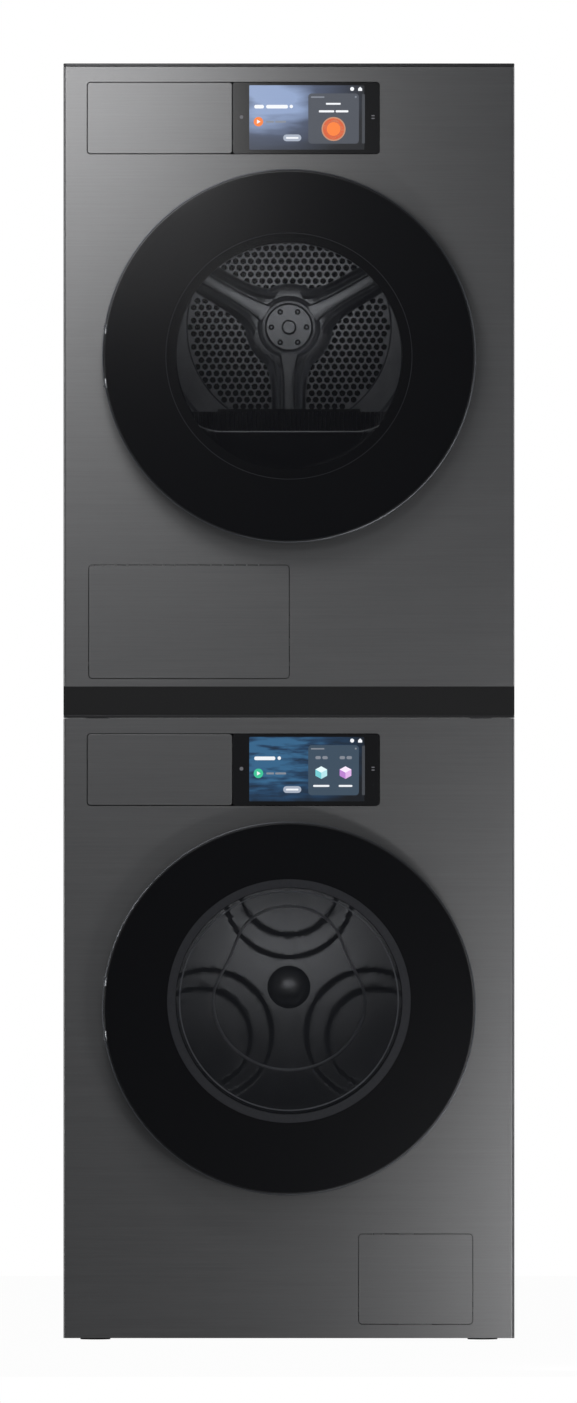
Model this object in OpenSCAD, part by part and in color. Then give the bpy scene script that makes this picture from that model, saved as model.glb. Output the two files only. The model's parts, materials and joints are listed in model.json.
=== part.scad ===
// Washer and heat pump dryer, stacked on a joining frame.
// Millimetres. X to the right, Y to the back, Z up, origin under the middle of the stack.

/* [Overall] */
// Width of both cabinets
stack_w = 600; // [580:5:720]
// Depth of each cabinet, from its front face to its back cover
cabinet_d = 590; // [580:5:720]
// Height of each cabinet
machine_h = 829; // [820:1:1000]
// Height of the frame between the two cabinets
frame_h = 38; // [30:1:60]
// Gap under the washer that its feet stand in
foot_gap = 3; // [2:0.5:4]

/* [Sheet metal] */
// Thickness of the cabinet and front panel sheet
sheet_t = 1.2; // [0.8:0.1:2]
// Rounding of the front panels' upright edges
edge_r = 4; // [3:0.5:6]
// Depth of the front panels' folded returns
panel_return = 18; // [14:1:24]
// Thickness of the top plates
top_t = 4; // [3:0.5:8]
// Depth of the pressed back covers
cover_d = 20; // [14:1:30]

/* [Doors] */
// Diameter of a door over its rim
door_d = 497; // [420:1:520]
// How far a door stands in front of the cabinet
door_proud = 45; // [43:1:60]
// Height of the door centre above the bottom of its cabinet
door_rise = 439; // [430:1:470]
// Thickness of the outer door glass
door_glass_t = 5; // [4:0.5:6]
// Width of the bright rim round the glass
rim_w = 2.3; // [2:0.1:4]
// Gap between a closed door and the front panel
door_gap = 2; // [1.5:0.5:3]
// Radius of the washer's clear window
washer_window_r = 162.5; // [158:0.5:168]
// How far the washer's window sits above the door centre
washer_window_rise = 10; // [0:1:14]
// Radius of the dryer's clear window
dryer_window_r = 164; // [158:0.5:168]
// Radius of the hole that the inner door glass sits in
bowl_seat_r = 151; // [148:0.5:154]
// Depth of the washer's glass bowl behind the front face
washer_bowl_depth = 95; // [70:1:100]
// Depth of the dryer's inner window behind the front face
dryer_bowl_depth = 42; // [30:1:50]
// Wall of both inner door glasses
bowl_t = 4; // [3:0.5:6]
// Radius of the mouths in the front panels
mouth_r = 165; // [160:1:175]
// Radius of a door's hinge pin
hinge_pin_r = 4; // [3:0.5:5]

/* [Control strip] */
// Distance from the left edge of the cabinet to the strip
strip_inset = 31; // [20:1:50]
// Width of the drawer front
drawer_front_w = 194; // [180:1:210]
// Width of the display glass
display_w = 196; // [160:1:220]
// Height of the strip
strip_h = 96.5; // [90:0.5:110]
// Distance from the top of the cabinet to the strip
strip_drop = 24.5; // [20:0.5:40]
// Gap round a drawer front, display or flap
reveal = 0.8; // [0.6:0.1:1.2]
// Thickness of the drawer fronts
drawer_front_t = 12; // [8:1:14]
// Length of the detergent drawer
drawer_len = 250; // [200:5:260]
// Length of the condensate tank
tank_len = 460; // [300:5:470]
// Wall of the drawer, the tank and their housings
box_wall = 2.5; // [2:0.5:4]

/* [Service flaps] */
// Width of the dryer's flap
dryer_flap_w = 268; // [240:1:280]
// Height of the dryer's flap
dryer_flap_h = 152; // [130:1:160]
// Width of the washer's filter flap
filter_flap_w = 153; // [140:1:170]
// Height of the washer's filter flap
filter_flap_h = 121; // [110:1:130]
// Distance from the right edge of the cabinet to the filter flap
filter_flap_inset = 55; // [45:1:70]
// Height of the filter flap's bottom edge above the cabinet bottom
filter_flap_rise = 18; // [15:1:25]
// Height of the dryer flap's bottom edge above the cabinet bottom
dryer_flap_rise = 10; // [8:1:15]
// Thickness of a flap
flap_t = 2.5; // [2:0.5:4]

/* [Washing unit] */
// Height of the tub axis above the door centre
tub_rise = 23; // [15:1:24]
// Outer radius of the tub
tub_r = 262; // [240:1:264]
// Length of the tub
tub_len = 395; // [350:5:400]
// Wall of the tub
tub_wall = 5; // [4:0.5:7]
// Clear space between the drum and the tub
drum_clear = 14; // [10:1:16]
// Radius of the drum's front mouth
drum_mouth_r = 160; // [155:1:165]
// Wall of both drums
drum_wall = 1.5; // [1:0.5:2]
// Height of the washer's drum paddles
paddle_h = 48; // [40:1:55]
// Radius of the drum shaft
shaft_r = 15; // [12:0.5:17]
// Travel of the hanging tub each way
tub_travel = 8; // [5:1:8]
// Radius of the damper rods
damper_rod_r = 8; // [6:0.5:9]
// Mean radius of the tub springs
spring_r = 14; // [12:0.5:16]
// Wire radius of the tub springs
spring_wire_r = 1.8; // [1.5:0.1:2.2]
// Number of turns in a tub spring
spring_turns = 12; // [8:1:14]
// Radius of the motor's magnet rotor
rotor_r = 140; // [120:1:150]

/* [Drying unit] */
// Height of the dryer's drum axis above the door centre
dryer_axis_rise = 47; // [40:1:48]
// Radius of the dryer's drum
dryer_drum_r = 255; // [240:1:256]
// Radius of the throat that the laundry goes through
throat_r = 150; // [140:1:154]
// Height of the dryer's drum paddles
dryer_paddle_h = 45; // [35:1:50]
// Radius of the motor pulley
pulley_r = 14; // [12:1:20]
// Width of the drum belt
belt_w = 9; // [7:1:12]
// Thickness of the drum belt
belt_t = 2.5; // [2:0.5:3.5]
// Radius of the dryer drum's rear shaft
dryer_shaft_r = 10; // [8:0.5:12]

/* [Feet and ports] */
// Radius of a foot's pad
foot_r = 20; // [16:1:22]
// Radius of a foot's stud
foot_stud_r = 5; // [4:0.5:6]
// Radius of the water inlet's threaded spigot
inlet_r = 13.2; // [12:0.1:14]
// How far the inlet spigots stand behind the back cover
port_proud = 15; // [14:1:20]

/* [Hidden] */
$fn = 96;
half_w = stack_w / 2;
seam = 0.5;
fit_gap = 0.05;
free_gap = 0.4;
front_y = door_proud - (door_proud + cabinet_d + port_proud) / 2;
back_y = front_y + cabinet_d;
wall_y = back_y - cover_d;
shell_y = front_y + panel_return + seam;
body_h = machine_h - top_t - seam;
washer_z = foot_gap;
frame_z = washer_z + machine_h;
dryer_z = frame_z + frame_h;

// Control strip, measured in each cabinet
strip_x = -half_w + strip_inset;
strip_z = machine_h - strip_drop - strip_h;
split_x = strip_x + drawer_front_w;
strip_end_x = split_x + display_w;
strip_corner_r = 5;
display_glass_t = 3;
display_case_d = 22;

// Doors
door_r = door_d / 2;
door_face_y = front_y - door_proud;
frame_face_y = door_face_y + door_glass_t;
door_back_y = front_y - door_gap;
frame_r = door_r - rim_w - 1.7;
glass_r = door_r - rim_w;
rim_lap = 6;
hinge_x = -door_r + 10;
hinge_y = front_y - (door_proud - 1) / 2;
pocket_h = 50;
arm_h = 29;
knuckle_h = 12;
knuckle_r = 8;
// The lock sits behind the door's edge, and never nearer the middle than the gasket's outside
gasket_out = 17;
lock_side = 12;
hook_x = max(door_r - 36, mouth_r + gasket_out + lock_side + 1);
hook_w = 8;
window_ring_t = 9;
ring_back_y = frame_face_y + window_ring_t;
bowl_r = bowl_seat_r - 0.3;
washer_window_z = door_rise + washer_window_rise;
bowl_end_r = bowl_seat_r - 23;

// Drawers
housing_y = front_y + 20;
drawer_x0 = strip_x + 8;
drawer_x1 = split_x - 10;
// Each drawer clears both the strip's lower edge and the tub or drum that turns below it
tub_top_z = door_rise + tub_rise + sqrt(tub_r * tub_r - drawer_x1 * drawer_x1);
drawer_z0 = max(strip_z + 21, tub_top_z + tub_travel + 11);
drawer_z1 = strip_z + strip_h - 10;
tank_x0 = strip_x + 8;
tank_x1 = split_x - 28;
belt_out_r = dryer_drum_r + 0.6 + belt_t;
drum_top_z = door_rise + dryer_axis_rise + sqrt(belt_out_r * belt_out_r - tank_x1 * tank_x1);
tank_z0 = max(strip_z + 22, drum_top_z + 6);
tank_z1 = strip_z + strip_h - 7;
slide_gap = 1.5;

// Flaps
flap_axis_rise = 20;
flap_axis_y = front_y + 8;
flap_pin_r = 3;
flap_arm_t = 4;
flap_corner_r = 5;
filter_flap_x = half_w - filter_flap_inset - filter_flap_w;
dryer_flap_x = -half_w + 33;

// Washing unit
tub_z = door_rise + tub_rise;
tub_front_y = front_y + 75;
tub_back_y = tub_front_y + tub_len;
tub_mouth_r = mouth_r + 1;
neck_t = 6;
neck_len = 10;
drum_r = tub_r - tub_wall - drum_clear;
drum_front_y = tub_front_y + 17;
drum_back_y = tub_back_y - 45;
spider_t = 24;
bearing_r = 31;
bearing_w = 11;
boss_r = 42;
boss_len = 12;
stator_y = tub_back_y + 4;
rotor_y = tub_back_y + 14;
rotor_w = 32;
damper_x = 120;
damper_ys = [front_y + 220, front_y + 380];
damper_gap = 0.3;
damper_tube_r = damper_rod_r + damper_gap + 5;
damper_tube_h = 107;
damper_ear_z = tub_z - tub_r + 5;
base_floor = 3;
base_h = 45;
spring_x = 200;
spring_y = front_y + 320;
spring_rail_z = body_h - 24;
ear_top_z = tub_z + sqrt(tub_r * tub_r - spring_x * spring_x) + 26;
pump_x = filter_flap_x + filter_flap_w / 2;
pump_z = filter_flap_rise + filter_flap_h / 2;
pump_y = front_y + 42;
pump_r = 38;
pump_bore_r = 27;
cap_grip_r = 31;

// Drying unit
drum_z = door_rise + dryer_axis_rise;
throat_z = door_rise + 3;
lip_z = door_rise - 100;
bulkhead_y = front_y + 62;
bulkhead_t = 4;
glide_r = dryer_drum_r - 28;
glide_len = 34;
dryer_drum_y = front_y + 92;
dryer_drum_len = 393;
dryer_back_y = dryer_drum_y + dryer_drum_len;
hub_ring_r = 40;
filter_x = 95;
filter_z0 = drum_z - 186;
filter_z1 = lip_z + 31;
filter_y0 = bulkhead_y + bulkhead_t + 2;
filter_t = 14;
belt_y = front_y + 355;
pulley_x = 175;
pulley_z = 130;
motor_r = 55;
motor_len = 120;
motor_shaft_r = 6;

// Feet
foot_x = half_w - 42;
foot_ys = [front_y + 60, wall_y - 50];
foot_pad_t = 9;
foot_boss = 60;
foot_stud_len = 40;
screw_r = 2.5;
screw_head_r = 5.5;
tab_screw_rise = 15;
tab_screw_drop = 10;
hose_nut_room = 4;
tab_x = half_w - 40;
tab_w = 30;

steel = [0.40, 0.40, 0.41];
dark_steel = [0.25, 0.25, 0.26];
black = [0.05, 0.05, 0.06];
zinc = [0.62, 0.63, 0.65];
grey_plastic = [0.55, 0.56, 0.57];
bright = [0.80, 0.81, 0.83];
smoked = [0.12, 0.13, 0.15];
rubber_grey = [0.33, 0.33, 0.34];
concrete = [0.60, 0.59, 0.56];
copper = [0.72, 0.45, 0.30];

// ---- Shared shapes ----

// A box given by its two corners
module box(low, high) {
  translate(low) cube(high - low);
}

// A round bar along Y
module bar_y(x, z, y0, y1, r) {
  translate([x, y0, z]) rotate([-90, 0, 0]) cylinder(h = y1 - y0, r = r);
}

// A round bar along X
module bar_x(x0, x1, y, z, r) {
  translate([x0, y, z]) rotate([0, 90, 0]) cylinder(h = x1 - x0, r = r);
}

// A shape turned about an axis along Y; its points are radius and distance along Y
module turned_y(x, z, points) {
  translate([x, 0, z]) rotate([-90, 0, 0]) rotate_extrude() polygon(points);
}

// A flat ring whose axis is along Y
module ring_y(x, z, y0, y1, outer_r, inner_r) {
  turned_y(x, z, [[inner_r, y0], [outer_r, y0], [outer_r, y1], [inner_r, y1]]);
}

// A rectangle with round corners, from its lower left corner
module round_rect(w, h, r) {
  translate([r, 0]) square([w - 2 * r, h]);
  translate([0, r]) square([w, h - 2 * r]);
  for (x = [r, w - r], y = [r, h - r]) translate([x, y]) circle(r);
}

// An upright plate with round corners, facing Y
module plate_y(x0, x1, z0, z1, y0, y1, r) {
  translate([x0, y1, z0]) rotate([90, 0, 0])
    linear_extrude(y1 - y0) round_rect(x1 - x0, z1 - z0, r);
}

// A folded box open at the back, as a pressed panel is
module front_pan(h) {
  inner = sheet_t;
  difference() {
    linear_extrude(h) difference() {
      union() {
        translate([-half_w + edge_r, front_y]) square([stack_w - 2 * edge_r, panel_return]);
        translate([-half_w, front_y + edge_r]) square([stack_w, panel_return - edge_r]);
        for (side = [-1, 1])
          translate([side * (half_w - edge_r), front_y + edge_r]) circle(edge_r);
      }
      translate([-half_w + inner, front_y + edge_r]) square([stack_w - 2 * inner, panel_return]);
    }
    box([-half_w + edge_r, front_y + inner, inner], [half_w - edge_r, front_y + panel_return, h - inner]);
  }
}

// Cabinet shell: both sides, a back wall and narrow front flanges, open above and below
module cabinet_shell() {
  flange = 20;
  difference() {
    box([-half_w, shell_y, 0], [half_w, wall_y, body_h]);
    box([-half_w + sheet_t, shell_y + sheet_t, -1], [half_w - sheet_t, wall_y - sheet_t, body_h + 1]);
    box([-half_w + flange, shell_y - 1, -1], [half_w - flange, shell_y + sheet_t + 1, body_h + 1]);
    for (x = [-tab_x, tab_x], z = [tab_screw_rise, body_h - tab_screw_drop])
      bar_y(x, z, wall_y - 5, wall_y + 1, screw_r + 0.3);
  }
}

// The opening in the front panel that the drawer front and the display share
module strip_hole() {
  plate_y(strip_x, strip_end_x, strip_z, strip_z + strip_h,
          front_y - 1, front_y + panel_return + 1, strip_corner_r);
}

module flap_hole(x, z, w, h) {
  plate_y(x, x + w, z, z + h, front_y - 1, front_y + sheet_t + 1, flap_corner_r + reveal);
}

// Ears behind the front panel that hold a flap's pins
module flap_ears(x, z, w) {
  for (ear_x = [x - 5, x + w + 2])
    difference() {
      box([ear_x, front_y + sheet_t, z + flap_axis_rise - 8], [ear_x + 3, flap_axis_y + 7, z + flap_axis_rise + 8]);
      bar_x(ear_x - 1, ear_x + 4, flap_axis_y, z + flap_axis_rise, flap_pin_r + fit_gap);
    }
}

// A flap with two arms and stub pins, hinged near its bottom edge
module flap(x, z, w, h) {
  axis_z = z + flap_axis_rise;
  plate_y(x + reveal, x + w - reveal, z + reveal, z + h - reveal, front_y, front_y + flap_t, flap_corner_r);
  for (side = [0, 1]) {
    arm_x = side == 0 ? x + 2 : x + w - 2 - flap_arm_t;
    pin_x = side == 0 ? x - 5 : x + w - 2 - flap_arm_t;
    box([arm_x, front_y + flap_t, axis_z - 6], [arm_x + flap_arm_t, flap_axis_y + 5, axis_z + 6]);
    bar_x(pin_x, pin_x + flap_arm_t + 7, flap_axis_y, axis_z, flap_pin_r);
  }
}

// Pan that closes a cabinet's back, with rows of louvres
module back_pan(w, z0, z1) {
  rows = 6;
  louvre_w = 90;
  difference() {
    plate_y(-w / 2, w / 2, z0, z1, wall_y, back_y, 20);
    plate_y(-w / 2 + sheet_t, w / 2 - sheet_t, z0 + sheet_t, z1 - sheet_t, wall_y - 1, back_y - sheet_t, 19);
    for (i = [0 : rows - 1], x = [-1, 1])
      plate_y(x * w / 4 - louvre_w / 2, x * w / 4 + louvre_w / 2,
              z0 + 60 + i * 16, z0 + 66 + i * 16, back_y - sheet_t - 1, back_y + 1, 2.9);
  }
}

// Door ring: a thick moulded disc with a window hole, a hinge pocket, a hinge arm and a hook
module door_ring(window_r, window_rise) {
  arm_r = 9;
  difference() {
    turned_y(0, door_rise, [[0, frame_face_y], [frame_r, frame_face_y], [frame_r, door_back_y - 4],
                            [frame_r - 4, door_back_y], [0, door_back_y]]);
    bar_y(0, door_rise + window_rise, frame_face_y - 1, ring_back_y, window_r);
    bar_y(0, door_rise + window_rise, frame_face_y - 1, door_back_y + 1, bowl_seat_r);
    box([-door_r, ring_back_y, door_rise - pocket_h], [hinge_x + 36, door_back_y + 1, door_rise + pocket_h]);
  }
  difference() {
    union() {
      translate([hinge_x, hinge_y, door_rise - arm_h]) cylinder(h = 2 * arm_h, r = arm_r);
      box([hinge_x, ring_back_y, door_rise - arm_h], [hinge_x + arm_r, hinge_y, door_rise + arm_h]);
    }
    translate([hinge_x, hinge_y, door_rise - arm_h - 1]) cylinder(h = 2 * arm_h + 2, r = hinge_pin_r + fit_gap);
  }
  box([hook_x, door_back_y, door_rise - 12], [hook_x + hook_w, front_y + 20, door_rise + 12]);
  box([hook_x, front_y + 14, door_rise - 12], [hook_x + hook_w + 5, front_y + 20, door_rise + 12]);
}

// Bright ring that holds the glass to the door ring
module door_rim() {
  turned_y(0, door_rise, [[glass_r + 0.1, door_face_y], [door_r - 1, door_face_y], [door_r, door_face_y + 1],
                          [door_r, frame_face_y + rim_lap], [frame_r + 0.2, frame_face_y + rim_lap],
                          [frame_r + 0.2, frame_face_y], [glass_r + 0.1, frame_face_y]]);
}

module door_glass() {
  turned_y(0, door_rise, [[0, door_face_y], [glass_r - 1, door_face_y], [glass_r, door_face_y + 1],
                          [glass_r, frame_face_y], [0, frame_face_y]]);
}

// Inner door glass: a cup that reaches back into the cabinet
module door_cup(z, depth, end_r, dome) {
  cup_y = ring_back_y + 0.3;
  turn_y = front_y + depth - 2 * dome;
  turned_y(0, z, [[0, front_y + depth], [end_r - 18, turn_y + dome], [end_r, turn_y], [bowl_r - 6, front_y + 3],
                  [bowl_r, front_y - 3], [bowl_r, cup_y], [bowl_r - bowl_t, cup_y],
                  [bowl_r - bowl_t, front_y - 4], [bowl_r - 6 - bowl_t, front_y + 2],
                  [end_r - bowl_t, turn_y - bowl_t / 2], [end_r - 19, turn_y + dome - bowl_t],
                  [0, front_y + depth - bowl_t]]);
}

// Plate and knuckles on the front panel that carry the hinge pin
module hinge_bracket() {
  plate_t = 1.2;
  difference() {
    box([hinge_x - 3, front_y - plate_t, door_rise - arm_h - knuckle_h - 1],
        [hinge_x + 34, front_y, door_rise + arm_h + knuckle_h + 1]);
    bar_y(hinge_x + 24, door_rise, front_y - 2, front_y + 1, 3);
  }
  for (z = [door_rise - arm_h - 1 - knuckle_h, door_rise + arm_h + 1]) {
    box([hinge_x - 3, hinge_y, z], [hinge_x + knuckle_r, front_y - plate_t, z + knuckle_h]);
    translate([hinge_x, hinge_y, z]) cylinder(h = knuckle_h, r = knuckle_r);
  }
  translate([hinge_x, hinge_y, door_rise - arm_h - knuckle_h]) cylinder(h = 2 * (arm_h + knuckle_h), r = hinge_pin_r);
}

// An open box with walls, its mouth facing the front
module housing(x0, x1, y0, y1, z0, z1) {
  difference() {
    box([x0 - box_wall, y0, z0 - box_wall], [x1 + box_wall, y1 + box_wall, z1 + box_wall]);
    box([x0, y0 - 1, z0], [x1, y1, z1]);
  }
}

module slide_front() {
  plate_y(strip_x + reveal, split_x - reveal / 2, strip_z + reveal, strip_z + strip_h - reveal,
          front_y, front_y + drawer_front_t, strip_corner_r - reveal);
}

module display() {
  plate_y(split_x + reveal / 2, strip_end_x - reveal, strip_z + reveal, strip_z + strip_h - reveal,
          front_y, front_y + display_glass_t, 3);
  difference() {
    box([split_x + 4, front_y + display_glass_t, strip_z + 4],
        [strip_end_x - 4, front_y + display_case_d, strip_z + strip_h - 4]);
    box([split_x + 8, front_y + display_glass_t + 6, strip_z + 8],
        [strip_end_x - 8, front_y + display_case_d + 1, strip_z + strip_h - 8]);
  }
}

module hook_slot() {
  box([hook_x - 3, front_y - 1, door_rise - 16], [hook_x + hook_w + 9, front_y + sheet_t + 1, door_rise + 16]);
}

// Paddles along the inside of a drum, each with a flat foot and a rounded crest
module paddles(axis_z, inner_r, h, y0, y1, first_angle) {
  foot_half = 30;
  crest_r = 10;
  foot_r_at = inner_r - foot_half * foot_half / (2 * inner_r) - 0.6;
  for (i = [0 : 2])
    translate([0, y1, axis_z]) rotate([90, 0, 0]) linear_extrude(y1 - y0)
      rotate(first_angle + i * 120) translate([foot_r_at, 0]) {
        polygon([[0, -foot_half], [0, foot_half], [-h + crest_r, crest_r], [-h + crest_r, -crest_r]]);
        translate([-h + crest_r, 0]) circle(crest_r);
      }
}

// ---- Joining frame ----

module stacking_frame() {
  rail_w = 32;
  color(dark_steel) translate([0, 0, frame_z]) difference() {
    union() {
      box([-half_w, front_y, 0], [half_w, wall_y, frame_h]);
      for (x = [-tab_x, tab_x])
        box([x - tab_w / 2, wall_y - 1, -machine_h + body_h - 22], [x + tab_w / 2, wall_y + 2, frame_h + 27]);
    }
    box([-half_w + rail_w, front_y + rail_w, -1], [half_w - rail_w, wall_y - rail_w, frame_h + 1]);
    box([-half_w - 1, shell_y, -machine_h], [half_w + 1, wall_y, 0]);
    box([-half_w - 1, shell_y, frame_h], [half_w + 1, wall_y, machine_h]);
    for (x = [-tab_x, tab_x], z = [-machine_h + body_h - tab_screw_drop, frame_h + tab_screw_rise])
      bar_y(x, z, wall_y - 5, wall_y + 3, screw_r + 0.3);
  }
}

module stacking_screws() {
  color(zinc)
    for (x = [-tab_x, tab_x], z = [washer_z + body_h - tab_screw_drop, dryer_z + tab_screw_rise]) {
      bar_y(x, z, wall_y - 10, wall_y + 2, screw_r);
      difference() {
        bar_y(x, z, wall_y + 2, wall_y + 5, screw_head_r);
        bar_y(x, z, wall_y + 3.5, wall_y + 6, 2);
      }
    }
}

// ---- Feet ----

module foot(x, y) {
  color(black) translate([x, y, 0]) {
    cylinder(h = foot_pad_t, r = foot_r);
    translate([0, 0, foot_pad_t]) cylinder(h = foot_stud_len, r = foot_stud_r);
  }
}

module foot_bosses() {
  for (x = [-foot_x, foot_x], y = foot_ys)
    difference() {
      box([x - foot_boss / 2, y - foot_boss / 2, 0], [x + foot_boss / 2, y + foot_boss / 2, base_h - 10]);
      translate([x, y, -1]) cylinder(h = 1 + foot_pad_t - foot_gap + 1, r = foot_r + 4);
      translate([x, y, 0]) cylinder(h = base_h, r = foot_stud_r + fit_gap);
    }
}

// Tray that a cabinet stands on; its front wall is low where a flap opens above it
module base_tray(floor_t, wall_h, front_h) {
  x1 = half_w - sheet_t - seam;
  y0 = shell_y + sheet_t + seam;
  y1 = wall_y - sheet_t - seam;
  wall_t = 3;
  difference() {
    box([-x1, y0, 0], [x1, y1, wall_h]);
    box([-x1 + wall_t, y0 + wall_t, floor_t], [x1 - wall_t, y1 - wall_t, wall_h + 1]);
    box([-half_w, y0 - 1, front_h], [half_w, y0 + wall_t + 1, wall_h + 1]);
  }
}

// ---- Washer ----

module washer_base() {
  color(grey_plastic) translate([0, 0, washer_z]) difference() {
    union() {
      base_tray(base_floor, base_h, 14);
      foot_bosses();
    }
    for (x = [-foot_x, foot_x], y = foot_ys) {
      translate([x, y, -1]) cylinder(h = 1 + foot_pad_t - foot_gap + 1, r = foot_r + 4);
      translate([x, y, 0]) cylinder(h = base_h, r = foot_stud_r + fit_gap);
    }
  }
}

module washer_cabinet() {
  service_w = 420;
  color(steel) translate([0, 0, washer_z]) {
    difference() {
      cabinet_shell();
      plate_y(-service_w / 2, service_w / 2, 140, 700, wall_y - 5, wall_y + 1, 18);
      for (x = [-180, -130]) bar_y(x, body_h - 55, wall_y - 5, wall_y + 1, inlet_r + hose_nut_room);
      bar_y(200, body_h - 70, wall_y - 5, wall_y + 1, 14);
    }
    box([-half_w + sheet_t, spring_y - 10, spring_rail_z], [half_w - sheet_t, spring_y + 10, spring_rail_z + 10]);
  }
}

module washer_back_cover() {
  color(zinc) translate([0, 0, washer_z]) back_pan(450, 125, 715);
}

module washer_front_panel() {
  color(steel) translate([0, 0, washer_z]) {
    difference() {
      front_pan(machine_h - top_t - seam);
      strip_hole();
      bar_y(0, washer_window_z, front_y - 1, front_y + sheet_t + 1, mouth_r);
      flap_hole(filter_flap_x, filter_flap_rise, filter_flap_w, filter_flap_h);
      hook_slot();
    }
    flap_ears(filter_flap_x, filter_flap_rise, filter_flap_w);
  }
}

module top_plate() {
  difference() {
    translate([0, 0, machine_h - top_t]) linear_extrude(top_t) union() {
      translate([-half_w + edge_r, front_y]) square([stack_w - 2 * edge_r, wall_y - front_y]);
      translate([-half_w, front_y + edge_r]) square([stack_w, wall_y - front_y - edge_r]);
      for (side = [-1, 1]) translate([side * (half_w - edge_r), front_y + edge_r]) circle(edge_r);
    }
  }
}

module washer_top() {
  color(dark_steel) translate([0, 0, washer_z]) top_plate();
}

module washer_display() {
  color(black) translate([0, 0, washer_z]) display();
}

module drawer_housing() {
  color(grey_plastic) translate([0, 0, washer_z])
    housing(drawer_x0, drawer_x1, housing_y, housing_y + drawer_len + 10, drawer_z0, drawer_z1);
}

module detergent_drawer() {
  x0 = drawer_x0 + slide_gap;
  x1 = drawer_x1 - slide_gap;
  z0 = drawer_z0 + slide_gap;
  z1 = drawer_z1 - 8;
  y0 = front_y + drawer_front_t;
  y1 = housing_y + drawer_len;
  inside_w = x1 - x0 - 2 * box_wall;
  main_w = inside_w * 0.55;
  color(grey_plastic) translate([0, 0, washer_z]) difference() {
    box([x0, y0, z0], [x1, y1, z1]);
    box([x0 + box_wall, y0 + 6, z0 + box_wall], [x0 + box_wall + main_w, y1 - box_wall, z1 + 1]);
    box([x0 + 2 * box_wall + main_w, y0 + 6, z0 + box_wall + 8],
        [x1 - box_wall, y0 + 6 + drawer_len * 0.45, z1 + 1]);
    box([x0 + 2 * box_wall + main_w, y0 + 6 + drawer_len * 0.45 + box_wall, z0 + box_wall + 8],
        [x1 - box_wall, y1 - box_wall, z1 + 1]);
  }
}

module drawer_front() {
  color(steel) translate([0, 0, washer_z]) slide_front();
}

module washer_door_frame() {
  color(black) translate([0, 0, washer_z]) door_ring(washer_window_r, washer_window_rise);
}

module washer_door_rim() {
  color(bright) translate([0, 0, washer_z]) door_rim();
}

module washer_door_glass() {
  color(smoked) translate([0, 0, washer_z]) door_glass();
}

module washer_door_bowl() {
  color(smoked) translate([0, 0, washer_z]) door_cup(washer_window_z, washer_bowl_depth, bowl_end_r, 7);
}

module washer_door_lock() {
  y0 = front_y + sheet_t + 1.5;
  color(black) translate([0, 0, washer_z]) difference() {
    box([hook_x - lock_side, y0, door_rise - 30], [hook_x + hook_w + 18, y0 + 30, door_rise + 30]);
    box([hook_x - 4, y0 - 1, door_rise - 17], [hook_x + hook_w + 11, y0 + 24, door_rise + 17]);
  }
}

module door_hinges() {
  color(zinc) for (z = [washer_z, dryer_z]) translate([0, 0, z]) hinge_bracket();
}

module door_gasket() {
  color(rubber_grey) translate([0, 0, washer_z])
    turned_y(0, washer_window_z, [
      [mouth_r - 2, front_y + 3], [mouth_r + 4, front_y + 3], [mouth_r + 4, front_y + 20],
      [mouth_r + 11, front_y + 27], [mouth_r + gasket_out, front_y + 35], [mouth_r + 11, front_y + 43],
      [mouth_r + 11, tub_front_y - 1], [tub_mouth_r + neck_t + 0.3, tub_front_y - 1],
      [tub_mouth_r + neck_t + 0.3, front_y + 45], [mouth_r + 13, front_y + 35], [mouth_r + 7, front_y + 30],
      [mouth_r - 5, front_y + 22], [mouth_r - 15, front_y + 13], [mouth_r - 15, front_y + 8],
      [mouth_r - 5, front_y + 6]]);
}

module outer_tub() {
  color(grey_plastic) translate([0, 0, washer_z]) difference() {
    union() {
      bar_y(0, tub_z, tub_front_y, tub_back_y, tub_r);
      ring_y(0, washer_window_z, tub_front_y - neck_len, tub_front_y, tub_mouth_r + neck_t, tub_mouth_r);
      bar_y(0, tub_z, tub_back_y - 1, tub_back_y + boss_len, boss_r);
      for (x = [-damper_x, damper_x], y = damper_ys)
        box([x - 10, y - 12, damper_ear_z], [x + 10, y + 12, damper_ear_z + 60]);
      for (side = [-1, 1])
        box([side * spring_x - 10, spring_y - 5, tub_z + 120], [side * spring_x + 10, spring_y + 5, ear_top_z]);
    }
    bar_y(0, tub_z, tub_front_y + tub_wall, tub_back_y - tub_wall - 8, tub_r - tub_wall);
    bar_y(0, washer_window_z, tub_front_y - neck_len - 1, tub_front_y + tub_wall + 1, tub_mouth_r);
    bar_y(0, tub_z, tub_front_y + tub_wall, tub_back_y + boss_len + 1, bearing_r);
  }
}

module tub_bearings() {
  color(zinc) translate([0, 0, washer_z])
    for (y = [tub_back_y - 12, tub_back_y])
      ring_y(0, tub_z, y, y + bearing_w, bearing_r - 0.02, shaft_r + fit_gap);
}

module washer_drum() {
  color(bright) translate([0, 0, washer_z]) difference() {
    bar_y(0, tub_z, drum_front_y, drum_back_y, drum_r);
    bar_y(0, tub_z, drum_front_y + drum_wall, drum_back_y - drum_wall, drum_r - drum_wall);
    bar_y(0, tub_z, drum_front_y - 1, drum_front_y + drum_wall + 1, drum_mouth_r);
  }
}

module drum_paddles() {
  color(grey_plastic) translate([0, 0, washer_z])
    paddles(tub_z, drum_r - drum_wall, paddle_h, drum_front_y + 22, drum_back_y - 22, 30);
}

module drum_spider() {
  arm_w = 46;
  color(zinc) translate([0, 0, washer_z]) {
    difference() {
      union() {
        bar_y(0, tub_z, drum_back_y, drum_back_y + spider_t, 60);
        for (i = [0 : 2])
          translate([0, drum_back_y, tub_z]) rotate([0, 30 + i * 120, 0])
            box([0, 0, -arm_w / 2], [drum_r - 12, spider_t, arm_w / 2]);
      }
      bar_y(0, tub_z, drum_back_y + 8, drum_back_y + spider_t + 1, 40);
    }
    bar_y(0, tub_z, drum_back_y + 8, rotor_y + rotor_w + 8, shaft_r);
  }
}

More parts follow.
